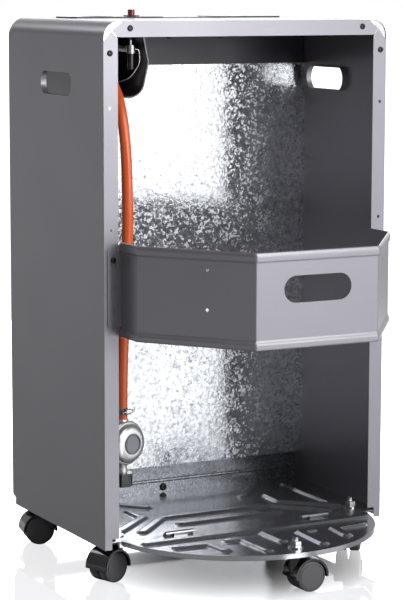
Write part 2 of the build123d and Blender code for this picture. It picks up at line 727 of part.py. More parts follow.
def pilot_route():
    high = LEADS_Z + LEADS_STEP
    return [
        (PILOT_OUTLET_X, PILOT_OUTLET_Y, VALVE_LOW), (PILOT_OUTLET_X, PILOT_OUTLET_Y, high),
        (PILOT_RUN_X, PILOT_OUTLET_Y, LEADS_Z), (PILOT_RUN_X, PILOT_Y, PILOT_TUBE_Z + LEADS_FALL),
        (PILOT_RUN_X, PILOT_Y, PILOT_TUBE_Z), (PILOT_X, PILOT_Y, PILOT_TUBE_Z)]


def pilot_burner():
    """Shelf on the tray's side wall, burner head and feed tube, brazed together."""
    wall = -TRAY_WIDE / 2 + SHEET
    ear_y = PROBE_Y - PILOT_HEAD_R
    shelf_top = PILOT_SHELF_Z + SHEET
    shelf = block(wall, SPARK_X + PILOT_SHELF_OUT - SHEET, PILOT_Y - PILOT_SHELF_OUT, PROBE_Y + 2 * PROBE_R,
                  PILOT_SHELF_Z, shelf_top)
    shelf += block(wall, wall + SHEET, ear_y, PROBE_Y + 2 * PROBE_R, PILOT_SHELF_Z, PILOT_SHELF_Z + 24)
    head = rod(PILOT_X, PILOT_Y, PILOT_SHELF_Z - PILOT_HEAD_IN, PILOT_SHELF_Z + PILOT_HEAD, PILOT_HEAD_R)
    pilot = shelf + head + tube(pilot_route(), PILOT_TUBE_R)
    hole_low, hole_high = PILOT_SHELF_Z - SHEET, shelf_top + PILOT_HEAD_IN
    pilot -= rod(SPARK_X, PILOT_Y, hole_low, hole_high, CERAMIC_R)
    return pilot - rod(PROBE_X, PROBE_Y, hole_low, hole_high, PROBE_R)


def spark_route():
    bend = LEADS_Z - 20.0
    high = LEADS_Z + 2 * LEADS_STEP
    return [
        (SPARK_X, PILOT_Y, PILOT_SHELF_Z - CERAMIC_IN), (SPARK_X, PILOT_Y, SPARK_LEAD_Z),
        (SPARK_RUN_X, PILOT_Y, SPARK_LEAD_Z), (SPARK_RUN_X, PILOT_Y + 6, bend),
        (SPARK_RUN_X, SPARK_RUN_Y, high - 2), (BUTTON_X, SPARK_RUN_Y, high),
        (BUTTON_X, CONTROL_Y, VALVE_LOW - 10), (BUTTON_X, CONTROL_Y, IGNITER_LOW)]


def spark_electrode():
    ceramic = rod(SPARK_X, PILOT_Y, PILOT_SHELF_Z - CERAMIC_IN, PILOT_SHELF_Z + CERAMIC_UP, CERAMIC_R)
    tip = rod(SPARK_X, PILOT_Y, PILOT_SHELF_Z + CERAMIC_UP, PILOT_SHELF_Z + SPARK_TIP_UP, SPARK_TIP_R)
    return ceramic + tip + tube(spark_route(), LEAD_R)


# Outlet fitting of the valve, with the flame-failure magnet below it.
MAGNET_X = KNOB_X - 21.0
MAGNET_Y = CONTROL_Y + 60.0
MAGNET_R = 4.5
MAGNET_LOW = VALVE_LOW + 18.0
FITTING_LOW = VALVE_LOW + 40.0
FITTING_HIGH = VALVE_LOW + 51.0
FITTING_R = 6.0
FITTING_ARM_UP = 6.0
FITTING_LEAD_UP = 5.5
FITTING_TUBE_UP = 8.5


def thermocouple_route():
    lead_z = FITTING_LOW + FITTING_LEAD_UP
    high = LEADS_Z + 3 * LEADS_STEP
    return [
        (MAGNET_X - FITTING_R, MAGNET_Y, lead_z), (MAGNET_X - 2 * FITTING_R, MAGNET_Y, lead_z),
        (MAGNET_X - 14, MAGNET_Y + 1, VALVE_LOW + 28), (MAGNET_X - 1, MAGNET_Y - 2, VALVE_LOW + 7),
        (MAGNET_X + 14, MAGNET_Y - 14, VALVE_LOW), (MAGNET_X + 6, MAGNET_Y - 34, VALVE_LOW - 12),
        (MAGNET_X - 8, MAGNET_Y - 46, high), (PROBE_RUN_X, PROBE_RUN_Y, high - 2),
        (PROBE_RUN_X, PROBE_Y, LEADS_Z - 20), (PROBE_RUN_X, PILOT_Y, PROBE_LEAD_Z),
        (PROBE_X, PILOT_Y, PROBE_LEAD_Z), (PROBE_X, PROBE_Y, PILOT_SHELF_Z - 14),
        (PROBE_X, PROBE_Y, PILOT_SHELF_Z)]


def thermocouple():
    probe = rod(PROBE_X, PROBE_Y, PILOT_SHELF_Z, PILOT_SHELF_Z + PROBE_UP, PROBE_R)
    return probe + tube(thermocouple_route(), WIRE_R)


# ---- valve, its housing, igniter and trim ----
def tail_frame():
    """End of the hose at the top and the direction from there into the valve."""
    start = Vector(KNOB_X + TAIL_SIDE, CONTROL_Y + TAIL_BACK, VALVE_LOW + TAIL_UP)
    return start, Vector(*TAIL_DIRECTION).normalized()


def gas_valve():
    middle = KNOB_X + VALVE_SIDE
    body = block(middle - VALVE_WIDE / 2, middle + VALVE_WIDE / 2, CONTROL_Y - VALVE_DEEP / 2,
                 CONTROL_Y + VALVE_DEEP / 2, VALVE_LOW, VALVE_HIGH)
    body = fillet(body.edges().filter_by(Axis.Z), VALVE_CORNER_R)
    cup_low = TOP_Z - CUP_DEPTH
    body += rod(KNOB_X, CONTROL_Y, VALVE_HIGH - 1, cup_low, VALVE_NECK_R)
    body += rod(KNOB_X, CONTROL_Y, cup_low - 1, cup_low + CUP_WALL, VALVE_THREAD_R)
    start, inward = tail_frame()
    body += rod_along(start + inward * (TAIL_FLANGE + TAIL_HEX), inward, TAIL_BOSS, TAIL_BOSS_R)
    arm_start = (MAGNET_X, CONTROL_Y, FITTING_LOW + FITTING_ARM_UP)
    body += rod_along(arm_start, (0, 1, 0), MAGNET_Y - CONTROL_Y, BOSS_R)
    body += rod(MAGNET_X, MAGNET_Y, FITTING_LOW, FITTING_HIGH, FITTING_R)
    tube_top = VALVE_HIGH + FITTING_TUBE_UP
    tube_end = (MAGNET_X + 9, CONTROL_Y + 12)
    body += tube([(MAGNET_X, MAGNET_Y, FITTING_HIGH - 2), (MAGNET_X, MAGNET_Y, tube_top),
                  (*tube_end, tube_top), (*tube_end, VALVE_HIGH - 2)], PILOT_TUBE_R)
    bore_low = SPINDLE_LOW - KNOB_TRAVEL - 4 * SPINDLE_GAP
    return body - rod(KNOB_X, CONTROL_Y, bore_low, TOP_Z, SPINDLE_R + RUN_FIT)


def magnet_unit():
    """Flame-failure magnet, screwed in under the valve's outlet fitting."""
    unit = rod(MAGNET_X, MAGNET_Y, MAGNET_LOW, FITTING_LOW, MAGNET_R)
    return fillet(unit.edges().group_by(Axis.Z)[0], 1.5)


def bowl_outline(grow=0.0):
    """Outline of the valve housing in (x, z), open at the top."""
    outline = polygon(
        (KNOB_X - BOWL_TOP_HALF, UNDER_TOP), (KNOB_X - BOWL_BULGE_HALF, BOWL_BULGE_Z),
        (KNOB_X - BOWL_LOW_HALF, BOWL_LOW), (KNOB_X + BOWL_LOW_HALF, BOWL_LOW),
        (KNOB_X + BOWL_BULGE_HALF, BOWL_BULGE_Z), (KNOB_X + BOWL_TOP_HALF, UNDER_TOP))
    outline = fillet(outline.vertices().group_by(Axis.Y)[0], BOWL_LOW_R)
    return offset(outline, amount=grow) if grow else outline


def valve_housing():
    """A bowl open to the rear that keeps the burner's heat off the valve."""
    outer = bowl_outline()
    inner = offset(outer, amount=-BOWL_WALL)
    inner += Pos(KNOB_X, UNDER_TOP) * Rectangle(2 * (BOWL_TOP_HALF - BOWL_WALL), 6 * BOWL_WALL)
    bowl = slab_y(outer, BOWL_BACK_Y, BOWL_RIM_Y)
    bowl -= slab_y(inner, BOWL_BACK_Y + BOWL_WALL, BOWL_RIM_Y + BOWL_WALL)
    floor_low = BOWL_LOW - BOWL_WALL
    floor_high = BOWL_LOW + 2 * BOWL_WALL
    bowl -= rod(KNOB_X, CONTROL_Y, floor_low, floor_high, TUBE_R + SEAM_GAP)
    bowl -= rod(PILOT_OUTLET_X, PILOT_OUTLET_Y, floor_low, floor_high, PILOT_TUBE_R + SEAM_GAP)
    lead_in, lead_out = (Vector(*point) for point in thermocouple_route()[5:7])
    return bowl - rod_along(lead_in, lead_out - lead_in, (lead_out - lead_in).length, WIRE_R + 2)


def piezo_igniter():
    pad_top = TOP_Z + PAD_THICK
    body = rod(BUTTON_X, CONTROL_Y, IGNITER_LOW, pad_top, IGNITER_R)
    body += rod(BUTTON_X, CONTROL_Y, pad_top, pad_top + IGNITER_COLLAR, IGNITER_COLLAR_R)
    body += rod(BUTTON_X, CONTROL_Y, UNDER_TOP - IGNITER_NUT, UNDER_TOP, IGNITER_COLLAR_R)
    low = BUTTON_LOW - BUTTON_TRAVEL - 1
    return body - rod(BUTTON_X, CONTROL_Y, low, TOP_Z + 2 * CUP_DEPTH, BUTTON_R + RUN_FIT)


def control_trim():
    """Thin strip along the front of the top, and the round dish for the knob that is let into it."""
    def strip(x0, x1, thick, r):
        face = Pos((x0 + x1) / 2, CONTROL_Y) * RectangleRounded(x1 - x0, 2 * TRIM_HALF_DEPTH, r)
        return slab_z(face, TOP_Z, TOP_Z + thick)
    trim = strip(TRIM_RIGHT_X, TRIM_LEFT_X, TRIM_THICK, CUP_WALL * 4)
    trim += strip(PAD_LEFT_END, TRIM_LEFT_X, PAD_THICK, CUP_WALL * 4)
    trim += strip(TRIM_RIGHT_X, PAD_RIGHT_START, PAD_THICK, CUP_WALL * 4)
    cup_low = TOP_Z - CUP_DEPTH
    trim -= rod(KNOB_X, CONTROL_Y, TOP_Z - SHEET, TOP_Z + 2 * PAD_THICK, CUP_R)
    trim -= rod(BUTTON_X, CONTROL_Y, TOP_Z - SHEET, TOP_Z + 2 * PAD_THICK, IGNITER_R)
    dish = rod(KNOB_X, CONTROL_Y, cup_low, TOP_Z + PAD_THICK, CUP_R)
    dish -= rod(KNOB_X, CONTROL_Y, cup_low + CUP_WALL, TOP_Z + 2 * PAD_THICK, CUP_R - CUP_WALL)
    dish -= rod(KNOB_X, CONTROL_Y, cup_low - SHEET, cup_low + 2 * CUP_WALL, VALVE_THREAD_R)
    return Compound(children=[trim, dish])


def control_knob():
    knob = rod(KNOB_X, CONTROL_Y, KNOB_LOW, KNOB_LOW + KNOB_SKIRT, KNOB_R)
    knob = chamfer(knob.edges().group_by(Axis.Z)[-1], 1)
    knob += rod(KNOB_X, CONTROL_Y, KNOB_LOW, KNOB_TOP - KNOB_GRIP_UP, KNOB_BODY_R)
    grip = block(KNOB_X - KNOB_BODY_R, KNOB_X + KNOB_BODY_R, CONTROL_Y - KNOB_GRIP / 2,
                 CONTROL_Y + KNOB_GRIP / 2, KNOB_LOW + KNOB_SKIRT, KNOB_TOP)
    knob += fillet(grip.edges().group_by(Axis.Z)[-1], KNOB_ROUND)
    return knob - rod(KNOB_X, CONTROL_Y, KNOB_LOW - 1, KNOB_TOP - KNOB_ROOF, SPINDLE_R + RUN_FIT)


def valve_spindle():
    return rod(KNOB_X, CONTROL_Y, SPINDLE_LOW, KNOB_TOP - KNOB_ROOF - SPINDLE_GAP, SPINDLE_R)


def igniter_button():
    button = rod(BUTTON_X, CONTROL_Y, BUTTON_LOW, BUTTON_TOP, BUTTON_R)
    return fillet(button.edges().group_by(Axis.Z)[-1], BUTTON_ROUND)


# ---- hose and regulator ----
def hose_tail():
    start, inward = tail_frame()
    tail = rod_along(start, inward, TAIL_FLANGE, HOSE_R)
    return tail + hex_along(start + inward * TAIL_FLANGE, inward, TAIL_HEX, TAIL_HEX_R)


def gas_hose():
    return tube(HOSE_ROUTE, HOSE_R)


def clamp(centre, along, screw_side):
    """A worm-drive band around the hose; screw_side points at the worm housing."""
    plane = Plane(origin=centre, x_dir=screw_side, z_dir=along)
    outer = HOSE_R + CLAMP_FIT + CLAMP_WALL
    band = extrude(plane * (Circle(outer) - Circle(HOSE_R + CLAMP_FIT)), CLAMP_WIDE / 2, both=True)
    housing = plane * Pos(outer + 2.4, 0, 0) * Box(5.6, 9, CLAMP_WIDE - 1)
    screw = plane * Pos(outer + 2.8, 3, 0) * Rot(90, 0, 0) * Cylinder(2.4, 19)
    return band + housing + screw


def facing():
    """Direction that the regulator's disc faces."""
    turn = math.radians(REGULATOR_TURN)
    return Vector(math.cos(turn), math.sin(turn), 0)


def hose_clamps():
    top, second, low = (Vector(*HOSE_ROUTE[index]) for index in (0, 1, -1))
    down = (second - top).normalized()
    upper = clamp(top + down * CLAMP_FROM_END, down, (1, 0, 0))
    lower = clamp(low + Vector(0, 0, CLAMP_FROM_END), (0, 0, 1), facing())
    return Compound(children=[upper, lower])


def regulator_axis():
    low = HOSE_ROUTE[-1]
    return low[0], low[1]


def disc_plane():
    """Plane of the disc's widest edge, z towards the way it faces."""
    x, y = regulator_axis()
    return Plane(origin=Vector(x, y, DISC_Z) + facing() * DISC_OUT, x_dir=(0, 0, 1), z_dir=facing())


def regulator_body():
    x, y = regulator_axis()
    body = rod(x, y, BARREL_LOW, HOSE_ROUTE[-1][2], BARREL_R)
    body += rod(x, y, NECK_LOW, BARREL_LOW, NECK_R)
    body += rod(x, y, NECK_LOW, NECK_LOW + NECK_FLANGE, NECK_FLANGE_R)
    profile = make_face([
        Line((0, -DISC_RIM), (DISC_R - 3, -DISC_RIM)),
        Line((DISC_R - 3, -DISC_RIM), (DISC_R, -DISC_RIM / 2)),
        Line((DISC_R, -DISC_RIM / 2), (DISC_R, 0)),
        Line((DISC_R, 0), (DISC_R - 2, 1)),
        ThreePointArc((DISC_R - 2, 1), (DISC_R - 4.5, DOME_HIGH * 0.62), (DOME_R, DOME_HIGH)),
        Line((DOME_R, DOME_HIGH), (0, DOME_HIGH)),
        Line((0, DOME_HIGH), (0, -DISC_RIM))])
    disc = revolve(Plane.XZ * profile, axis=Axis.Z)
    back = extrude(Plane.XY.offset(-DISC_RIM - DISC_OUT / 2) * Circle(DISC_R * 0.55), DISC_OUT / 2)
    return body + disc_plane() * (disc + back)


def regulator_cap():
    cap = extrude(Plane.XY.offset(DOME_HIGH) * Circle(CAP_R), CAP_THICK)
    return disc_plane() * fillet(cap.edges().group_by(Axis.Z)[-1], 0.8)


def union_nut():
    x, y = regulator_axis()
    nut = hex_along((x, y, NUT_LOW), (0, 0, 1), NUT_TOP - NUT_LOW, UNION_NUT_R)
    nut &= rod(x, y, NUT_LOW, NUT_TOP, UNION_NUT_R - 0.5)
    nut -= rod(x, y, NUT_LOW, NUT_LOW + UNION_THREAD, UNION_THREAD_R)
    nut -= rod(x, y, NUT_LOW + UNION_THREAD, UNION_RELIEF_TOP, UNION_RELIEF_R)
    return nut - rod(x, y, UNION_RELIEF_TOP, NUT_TOP, NECK_R + RUN_FIT)


# ---- shield, panels, base ----
def heat_shield():
    face = Pos(0, (SHIELD_LOW + SHIELD_HIGH) / 2) * Rectangle(2 * INNER, SHIELD_HIGH - SHIELD_LOW)
    shield = slab_y(face - bowl_outline(BOWL_CLEAR), SHIELD_Y - SHEET, SHIELD_Y)
    flange = block(INNER - SHEET, INNER, SHIELD_Y - SHIELD_FLANGE, SHIELD_Y, SHIELD_LOW, SHIELD_HIGH)
    return shield + both_sides(flange)


def upper_panels():
    """One closing panel on each side of the valve housing, lapped behind the shield."""
    low = SHIELD_HIGH - UPPER_LAP
    rear = SHIELD_Y - SHEET
    face = Pos(0, (low + UNDER_TOP) / 2) * Rectangle(2 * (INNER - SHEET - SEAM_GAP), UNDER_TOP - low)
    face &= arch(INNER, FLOOR_GAP, UNDER_TOP, CORNER_R - SHEET)
    panel = slab_y(face - bowl_outline(BOWL_CLEAR), rear - SHEET, rear)
    for x, z in UPPER_SCREWS:
        panel -= rod_along((x, rear + SHEET, z), (0, -1, 0), 3 * SHEET, SCREW_R)
    return panel


def lower_partition():
    foot_front = PARTITION_Y - PARTITION_FOOT
    wall = block(-INNER, INNER, PARTITION_Y - SHEET, PARTITION_Y, PLATE_TOP, PARTITION_TOP)
    wall += block(-INNER, INNER, foot_front, PARTITION_Y, PLATE_TOP, PLATE_TOP + SHEET)
    wall += block(-INNER, INNER, foot_front, PARTITION_Y, PARTITION_TOP - SHEET, PARTITION_TOP)
    bead = rod_along((-INNER + 6, PARTITION_Y, PARTITION_BEAD_Z), (1, 0, 0), 2 * INNER - 12, PARTITION_BEAD_R)
    wall += bead & block(-INNER, INNER, PARTITION_Y - SHEET / 2, REAR_Y, PLATE_TOP, PARTITION_TOP)
    x, z = PARTITION_SCREW
    return wall - rod_along((x, PARTITION_Y + SHEET, z), (0, -1, 0), 3 * SHEET, SCREW_R)


# Ribs as polylines in (x, y), given for the +X half or on the middle plane.
PLATE_RIBS_MIRRORED = (
    ((169.0, 26.0), (107.0, -32.0), (108.0, -70.0)),
    ((166.0, 12.0), (166.0, -120.0)),
    ((76.0, -82.0), (132.0, -144.0)),
)
PLATE_RIBS = (
    ((-141.0, 40.0), (-83.0, -20.0), (83.0, -20.0), (141.0, 40.0)),
    ((-75.0, 21.0), (75.0, 21.0)),
)
EXTENSION_RIBS_MIRRORED = (
    ((137.5, 134.0), (94.0, 138.0), (90.0, 175.0)),
    ((62.0, 133.0), (44.0, 136.0), (41.0, 199.0)),
)
EXTENSION_RIBS = (
    ((-163.5, 99.0), (163.5, 99.0)),
    ((0.0, 118.0), (0.0, 164.0)),
)


def rib(points):
    """A raised rib with round ends along straight runs."""
    face = Sketch()
    for start, end in zip(points, points[1:]):
        run = Vector(*end) - Vector(*start)
        middle = (Vector(*start) + Vector(*end)) / 2
        angle = math.degrees(math.atan2(run.Y, run.X))
        face += Pos(middle.X, middle.Y) * Rot(0, 0, angle) * SlotCenterToCenter(run.length, RIB_WIDE)
    return slab_z(face, PLATE_TOP - PLATE_SHEET / 2, PLATE_TOP + RIB_HIGH)


def add_ribs(plate, single, mirrored):
    for points in single:
        plate += rib(points)
    for points in mirrored:
        plate += both_sides(rib(points))
    return plate


def knuckle(x0, x1, toward):
    """One hinge knuckle on the plate that lies on the given side of the axis."""
    web_start = HINGE_Y if toward > 0 else HINGE_Y - 2 * KNUCKLE_R
    web = block(x0, x1, web_start, web_start + 2 * KNUCKLE_R, PLATE_TOP, HINGE_Z)
    return rod_along((x0, HINGE_Y, HINGE_Z), (1, 0, 0), x1 - x0, KNUCKLE_R) + web


def knuckle_spans():
    """For one hinge: the middle knuckle's ends and the two outer knuckles' ends."""
    middle = (KNUCKLE_SIDE - KNUCKLE_MID / 2, KNUCKLE_SIDE + KNUCKLE_MID / 2)
    low = (middle[0] - KNUCKLE_GAP - KNUCKLE_END, middle[0] - KNUCKLE_GAP)
    high = (middle[1] + KNUCKLE_GAP, middle[1] + KNUCKLE_GAP + KNUCKLE_END)
    return middle, low, high


def fixed_stems():
    """Stems that stand in the base plate."""
    return [place for name, place in STEMS.items() if name != "extension"]


def base_plate():
    rear_edge = HINGE_Y - HINGE_EDGE_GAP
    flange_y = REAR_Y - SHEET
    plate = block(-INNER, INNER, SHELL_FRONT + SHEET, flange_y, PLATE_LOW, PLATE_TOP)
    plate += block(-POST_INNER, POST_INNER, 0, rear_edge, PLATE_LOW, PLATE_TOP)
    skirt_low = PLATE_TOP - PLATE_SKIRT
    skirt = block(INNER - PLATE_SHEET, INNER, SHELL_FRONT + SHEET, flange_y, skirt_low, PLATE_TOP)
    plate += both_sides(skirt)
    plate += block(-POST_INNER, POST_INNER, rear_edge - PLATE_SHEET, rear_edge, skirt_low, PLATE_TOP)
    plate = add_ribs(plate, PLATE_RIBS, PLATE_RIBS_MIRRORED)
    middle, low, high = knuckle_spans()
    for span in (low, high):
        plate += both_sides(knuckle(*span, -1))
    plate -= both_sides(rod_along((low[0] - 1, HINGE_Y, HINGE_Z), (1, 0, 0), high[1] - low[0] + 2, PIN_R))
    for x, y in fixed_stems():
        plate -= rod(x, y, PLATE_LOW - 1, PLATE_TOP + 1, STEM_R)
    return plate


def hinge_pins():
    middle, low, high = knuckle_spans()
    return both_sides(rod_along((low[0], HINGE_Y, HINGE_Z), (1, 0, 0), high[1] - low[0], PIN_R))


def base_extension():
    start = HINGE_Y + HINGE_EDGE_GAP
    circle = Pos(0, EXTENSION_CENTRE_Y) * Circle(EXTENSION_R)
    beyond = Pos(0, start + EXTENSION_R) * Rectangle(3 * EXTENSION_R, 2 * EXTENSION_R)
    plate = slab_z(circle & beyond, PLATE_LOW, PLATE_TOP)
    ring = circle - Pos(0, EXTENSION_CENTRE_Y) * Circle(EXTENSION_R - EXTENSION_RIM_WALL)
    plate += slab_z(ring & beyond, PLATE_TOP - EXTENSION_RIM - PLATE_SHEET, PLATE_TOP)
    plate = add_ribs(plate, EXTENSION_RIBS, EXTENSION_RIBS_MIRRORED)
    middle = knuckle_spans()[0]
    plate += both_sides(knuckle(*middle, 1))
    bore = rod_along((middle[0] - 1, HINGE_Y, HINGE_Z), (1, 0, 0), KNUCKLE_MID + 2, PIN_R + RUN_FIT)
    plate -= both_sides(bore)
    return plate - rod(*STEMS["extension"], PLATE_LOW - 1, PLATE_TOP + 1, STEM_R)


# ---- casters ----
def caster_stem(x, y):
    """Threaded stud with a collar under the plate and a pin that the caster turns on."""
    stem = rod(x, y, STEM_LOW, PLATE_TOP + STUD_UP, STEM_R)
    return stem + rod(x, y, PLATE_LOW - STEM_COLLAR, PLATE_LOW, STEM_COLLAR_R)


def caster_nut(x, y):
    nut = rod(x, y, PLATE_TOP, PLATE_TOP + NUT_FLANGE, NUT_FLANGE_R)
    nut += hex_along((x, y, PLATE_TOP), (0, 0, 1), NUT_HIGH, NUT_R)
    return nut - rod(x, y, PLATE_TOP - 1, PLATE_TOP + NUT_HIGH + 1, STEM_R)


def caster_place(stem, turn):
    """Puts a caster, drawn with its axle along Y at the origin, under its stem."""
    angle = math.radians(turn)
    x = stem[0] + TRAIL * math.cos(angle)
    y = stem[1] + TRAIL * math.sin(angle)
    return Pos(x, y, WHEEL_R) * Rot(0, 0, turn)


WHEEL_OUT = WHEEL_HUB_GAP + WHEEL_WIDE


def caster_hood():
    """Hood over both wheels, the web between them, and the boss for the stem."""
    clear_r = WHEEL_R + HOOD_CLEAR
    hood_r = clear_r + HOOD_WALL
    half = WHEEL_OUT + HOOD_OVER
    sector = Pos(0, hood_r) * Rectangle(2 * hood_r, 2 * hood_r)
    drop = clear_r * math.sin(math.radians(HOOD_DROP))
    sector = Pos(0, hood_r - drop) * Rectangle(4 * hood_r, 2 * hood_r)
    shell = slab_y((Circle(hood_r) - Circle(clear_r)) & sector, -half, half)
    web = slab_y((Circle(clear_r + 1) & sector) + Circle(AXLE_R + 3), -WEB_WIDE / 2, WEB_WIDE / 2)
    boss_top = PLATE_LOW - STEM_COLLAR - CASTER_BOSS_GAP - WHEEL_R
    boss = rod(-TRAIL, 0, 0, boss_top, CASTER_BOSS_R)
    for side in SIDES:
        start = (0, side * WEB_WIDE / 2, 0)
        boss -= rod_along(start, (0, side, 0), half, clear_r)
    hood = shell + web + boss
    hood -= rod(-TRAIL, 0, STEM_LOW - 0.4 - WHEEL_R, boss_top + 1, STEM_R + RUN_FIT)
    return hood - rod_along((0, -half, 0), (0, 1, 0), 2 * half, AXLE_R)


def caster_axle():
    reach = WHEEL_OUT - 3
    return rod_along((0, -reach, 0), (0, 1, 0), 2 * reach, AXLE_R)


def caster_wheel(side):
    """A wheel with a domed outer face, on one side of the web."""
    outline = make_face([
        Line((0, WHEEL_HUB_GAP), (WHEEL_R - 1, WHEEL_HUB_GAP)),
        Line((WHEEL_R - 1, WHEEL_HUB_GAP), (WHEEL_R, WHEEL_HUB_GAP + 1)),
        Line((WHEEL_R, WHEEL_HUB_GAP + 1), (WHEEL_R, WHEEL_OUT - 3)),
        Line((WHEEL_R, WHEEL_OUT - 3), (WHEEL_R - 2, WHEEL_OUT - 1.5)),
        Line((WHEEL_R - 2, WHEEL_OUT - 1.5), (WHEEL_R / 2, WHEEL_OUT)),
        Line((WHEEL_R / 2, WHEEL_OUT), (0, WHEEL_OUT)),
        Line((0, WHEEL_OUT), (0, WHEEL_HUB_GAP))])
    wheel = revolve(outline, axis=Axis.Y)
    bore = rod_along((0, 0, 0), (0, 1, 0), WHEEL_OUT - 2.8, AXLE_R + RUN_FIT)
    wheel -= bore
    return wheel if side > 0 else mirror(wheel, about=Plane.XZ)


def write_casters():
    for name, turn in CASTER_TURNS.items():
        place = caster_place(STEMS[name], turn)
        write(f"caster_hood_{name}", place * caster_hood())
        write(f"caster_axle_{name}", place * caster_axle())
        write(f"wheel_a_{name}", place * caster_wheel(1))
        write(f"wheel_b_{name}", place * caster_wheel(-1))
    write("caster_stems", Compound(children=[caster_stem(x, y) for x, y in fixed_stems()]))
    write("caster_nuts", Compound(children=[caster_nut(x, y) for x, y in fixed_stems()]))
    write("extension_caster_stem", caster_stem(*STEMS["extension"]))
    write("extension_caster_nut", caster_nut(*STEMS["extension"]))


# ---- band ----
def band_line(inset):
    """Half of the band's outer face in plan, moved inwards by inset, from the tab to the middle."""
    tab_face = REAR_Y + TAB_GAP + BAND_SHEET
    points = [(TAB_OUT_X, tab_face), (BAND_CORNER_X, tab_face), (BAND_CORNER_X, BAND_CORNER_Y),
              (BAND_FACE_X, BAND_FACE_Y), (0, BAND_FACE_Y)]
    if not inset:
        return points
    moved = []
    for index, point in enumerate(points):
        here = Vector(*point)
        runs = []
        if index:
            runs.append((here - Vector(*points[index - 1])).normalized())
        if index + 1 < len(points):
            runs.append((Vector(*points[index + 1]) - here).normalized())
        normals = [Vector(-run.Y, run.X) for run in runs]
        mean = sum(normals[1:], normals[0]).normalized()
        moved.append(here + mean * (inset / mean.dot(normals[0])))
    return [(p.X, p.Y) for p in moved]


def band_strip(outer, inner, z0, z1):
    """The stretch of band between two insets of its outer face."""
    face = polygon(*band_line(outer), *reversed(band_line(inner)))
    return slab_z(face, z0, z1)


def bottle_band():
    full = BAND_HEM_PROUD + BAND_SHEET
    half = band_strip(0, full, BAND_LOW, BAND_LOW + BAND_HEM)
    half += band_strip(0, full, BAND_HIGH - BAND_HEM, BAND_HIGH)
    half += band_strip(BAND_HEM_PROUD, full, BAND_LOW + BAND_HEM / 2, BAND_HIGH - BAND_HEM / 2)
    half -= block(BAND_CORNER_X - 9, HALF, REAR_Y - full, REAR_Y + TAB_GAP + BAND_SHEET + 4,
                  BAND_LOW, BAND_HIGH)
    tab = block(BAND_CORNER_X - full, TAB_OUT_X, REAR_Y + TAB_GAP, REAR_Y + TAB_GAP + BAND_SHEET, TAB_LOW, TAB_HIGH)
    tab += block(BAND_CORNER_X - full, BAND_CORNER_X - BAND_HEM_PROUD, REAR_Y + TAB_GAP,
                 REAR_Y + TAB_GAP + BAND_SHEET + 5, TAB_LOW, TAB_HIGH)
    band = both_sides(half + tab)
    slot = Pos(0, BAND_LOW + BAND_SLOT_UP) * SlotOverall(BAND_SLOT_LENGTH, BAND_SLOT_HEIGHT)
    band -= slab_y(slot, BAND_FACE_Y - 3 * full, BAND_FACE_Y + full)
    panel = Vector(BAND_FACE_X - BAND_CORNER_X, BAND_FACE_Y - BAND_CORNER_Y)
    x, y = BAND_CORNER_X + BAND_HOLE_ALONG * panel.X, BAND_CORNER_Y + BAND_HOLE_ALONG * panel.Y
    out = Vector(panel.Y, -panel.X).normalized()
    for up in BAND_HOLE_UPS:
        start = Vector(x, y, BAND_LOW + up) + out * full
        band -= both_sides(rod_along(start, -out, 3 * full, BAND_HOLE_R))
    holes = [(KEY_Z - KEY_LIFT, KEY_HOLE_R)] + [(BAND_LOW + up, BAND_HOLE_R) for up in TAB_HOLE_UPS]
    for z, r in holes:
        band -= both_sides(rod_along((KEY_X, REAR_Y - 1, z), (0, 1, 0), 4, r))
    key_top = KEY_Z + KEY_SLOT_R - SCREW_R
    neck = Pos(KEY_X, (key_top + KEY_Z - KEY_LIFT) / 2) * Rot(0, 0, 90) * SlotCenterToCenter(
        key_top - KEY_Z + KEY_LIFT, 2 * KEY_SLOT_R)
    return band - both_sides(slab_y(neck, REAR_Y - 1, REAR_Y + 3))


def band_hook_screws():
    """Shouldered screws that the band hangs on."""
    stand = 2 * TAB_GAP + BAND_SHEET
    screw = rod_along((KEY_X, REAR_Y + stand, KEY_Z), (0, 1, 0), SCREW_HEAD, SCREW_HEAD_R)
    screw = fillet(screw.edges().group_by(Axis.Y)[-1], SCREW_HEAD * 0.6)
    screw += rod_along((KEY_X, REAR_Y + stand, KEY_Z), (0, -1, 0), stand + 3 * SHEET, SCREW_R)
    return both_sides(screw)


NODES = {
    "cabinet_shell": cabinet_shell,
    "corner_brackets": corner_brackets,
    "panel_screws": panel_screws,
    "front_panel": front_panel,
    "burner_guard": burner_guard,
    "burner_reflector": burner_reflector,
    "burner_housings": burner_housings,
    "ceramic_plaques": ceramic_plaques,
    "injector_manifold": injector_manifold,
    "injectors": injectors,
    "burner_supply_tube": lambda: tube(supply_route(), TUBE_R),
    "pilot_burner": pilot_burner,
    "spark_electrode": spark_electrode,
    "thermocouple": thermocouple,
    "gas_valve": gas_valve,
    "magnet_unit": magnet_unit,
    "valve_spindle": valve_spindle,
    "control_knob": control_knob,
    "piezo_igniter": piezo_igniter,
    "igniter_button": igniter_button,
    "control_trim": control_trim,
    "valve_housing": valve_housing,
    "hose_tail": hose_tail,
    "gas_hose": gas_hose,
    "hose_clamps": hose_clamps,
    "regulator_body": regulator_body,
    "regulator_cap": regulator_cap,
    "union_nut": union_nut,
    "heat_shield": heat_shield,
    "upper_panels": upper_panels,
    "lower_partition": lower_partition,
    "base_plate": base_plate,
    "hinge_pins": hinge_pins,
    "base_extension": base_extension,
    "bottle_band": bottle_band,
    "band_hook_screws": band_hook_screws,
}

os.makedirs("parts", exist_ok=True)
for node, make in NODES.items():
    write(node, make())
write_casters()

hose = gas_hose()
route = FilletPolyline(*HOSE_ROUTE, radius=corner_radii(HOSE_ROUTE))
print("hose radii", [round(r) for r in corner_radii(HOSE_ROUTE)])
print("hose length", round(route.length, 1))
print("hose volume over section times length", round(hose.volume / (math.pi * HOSE_R ** 2 * route.length), 4))
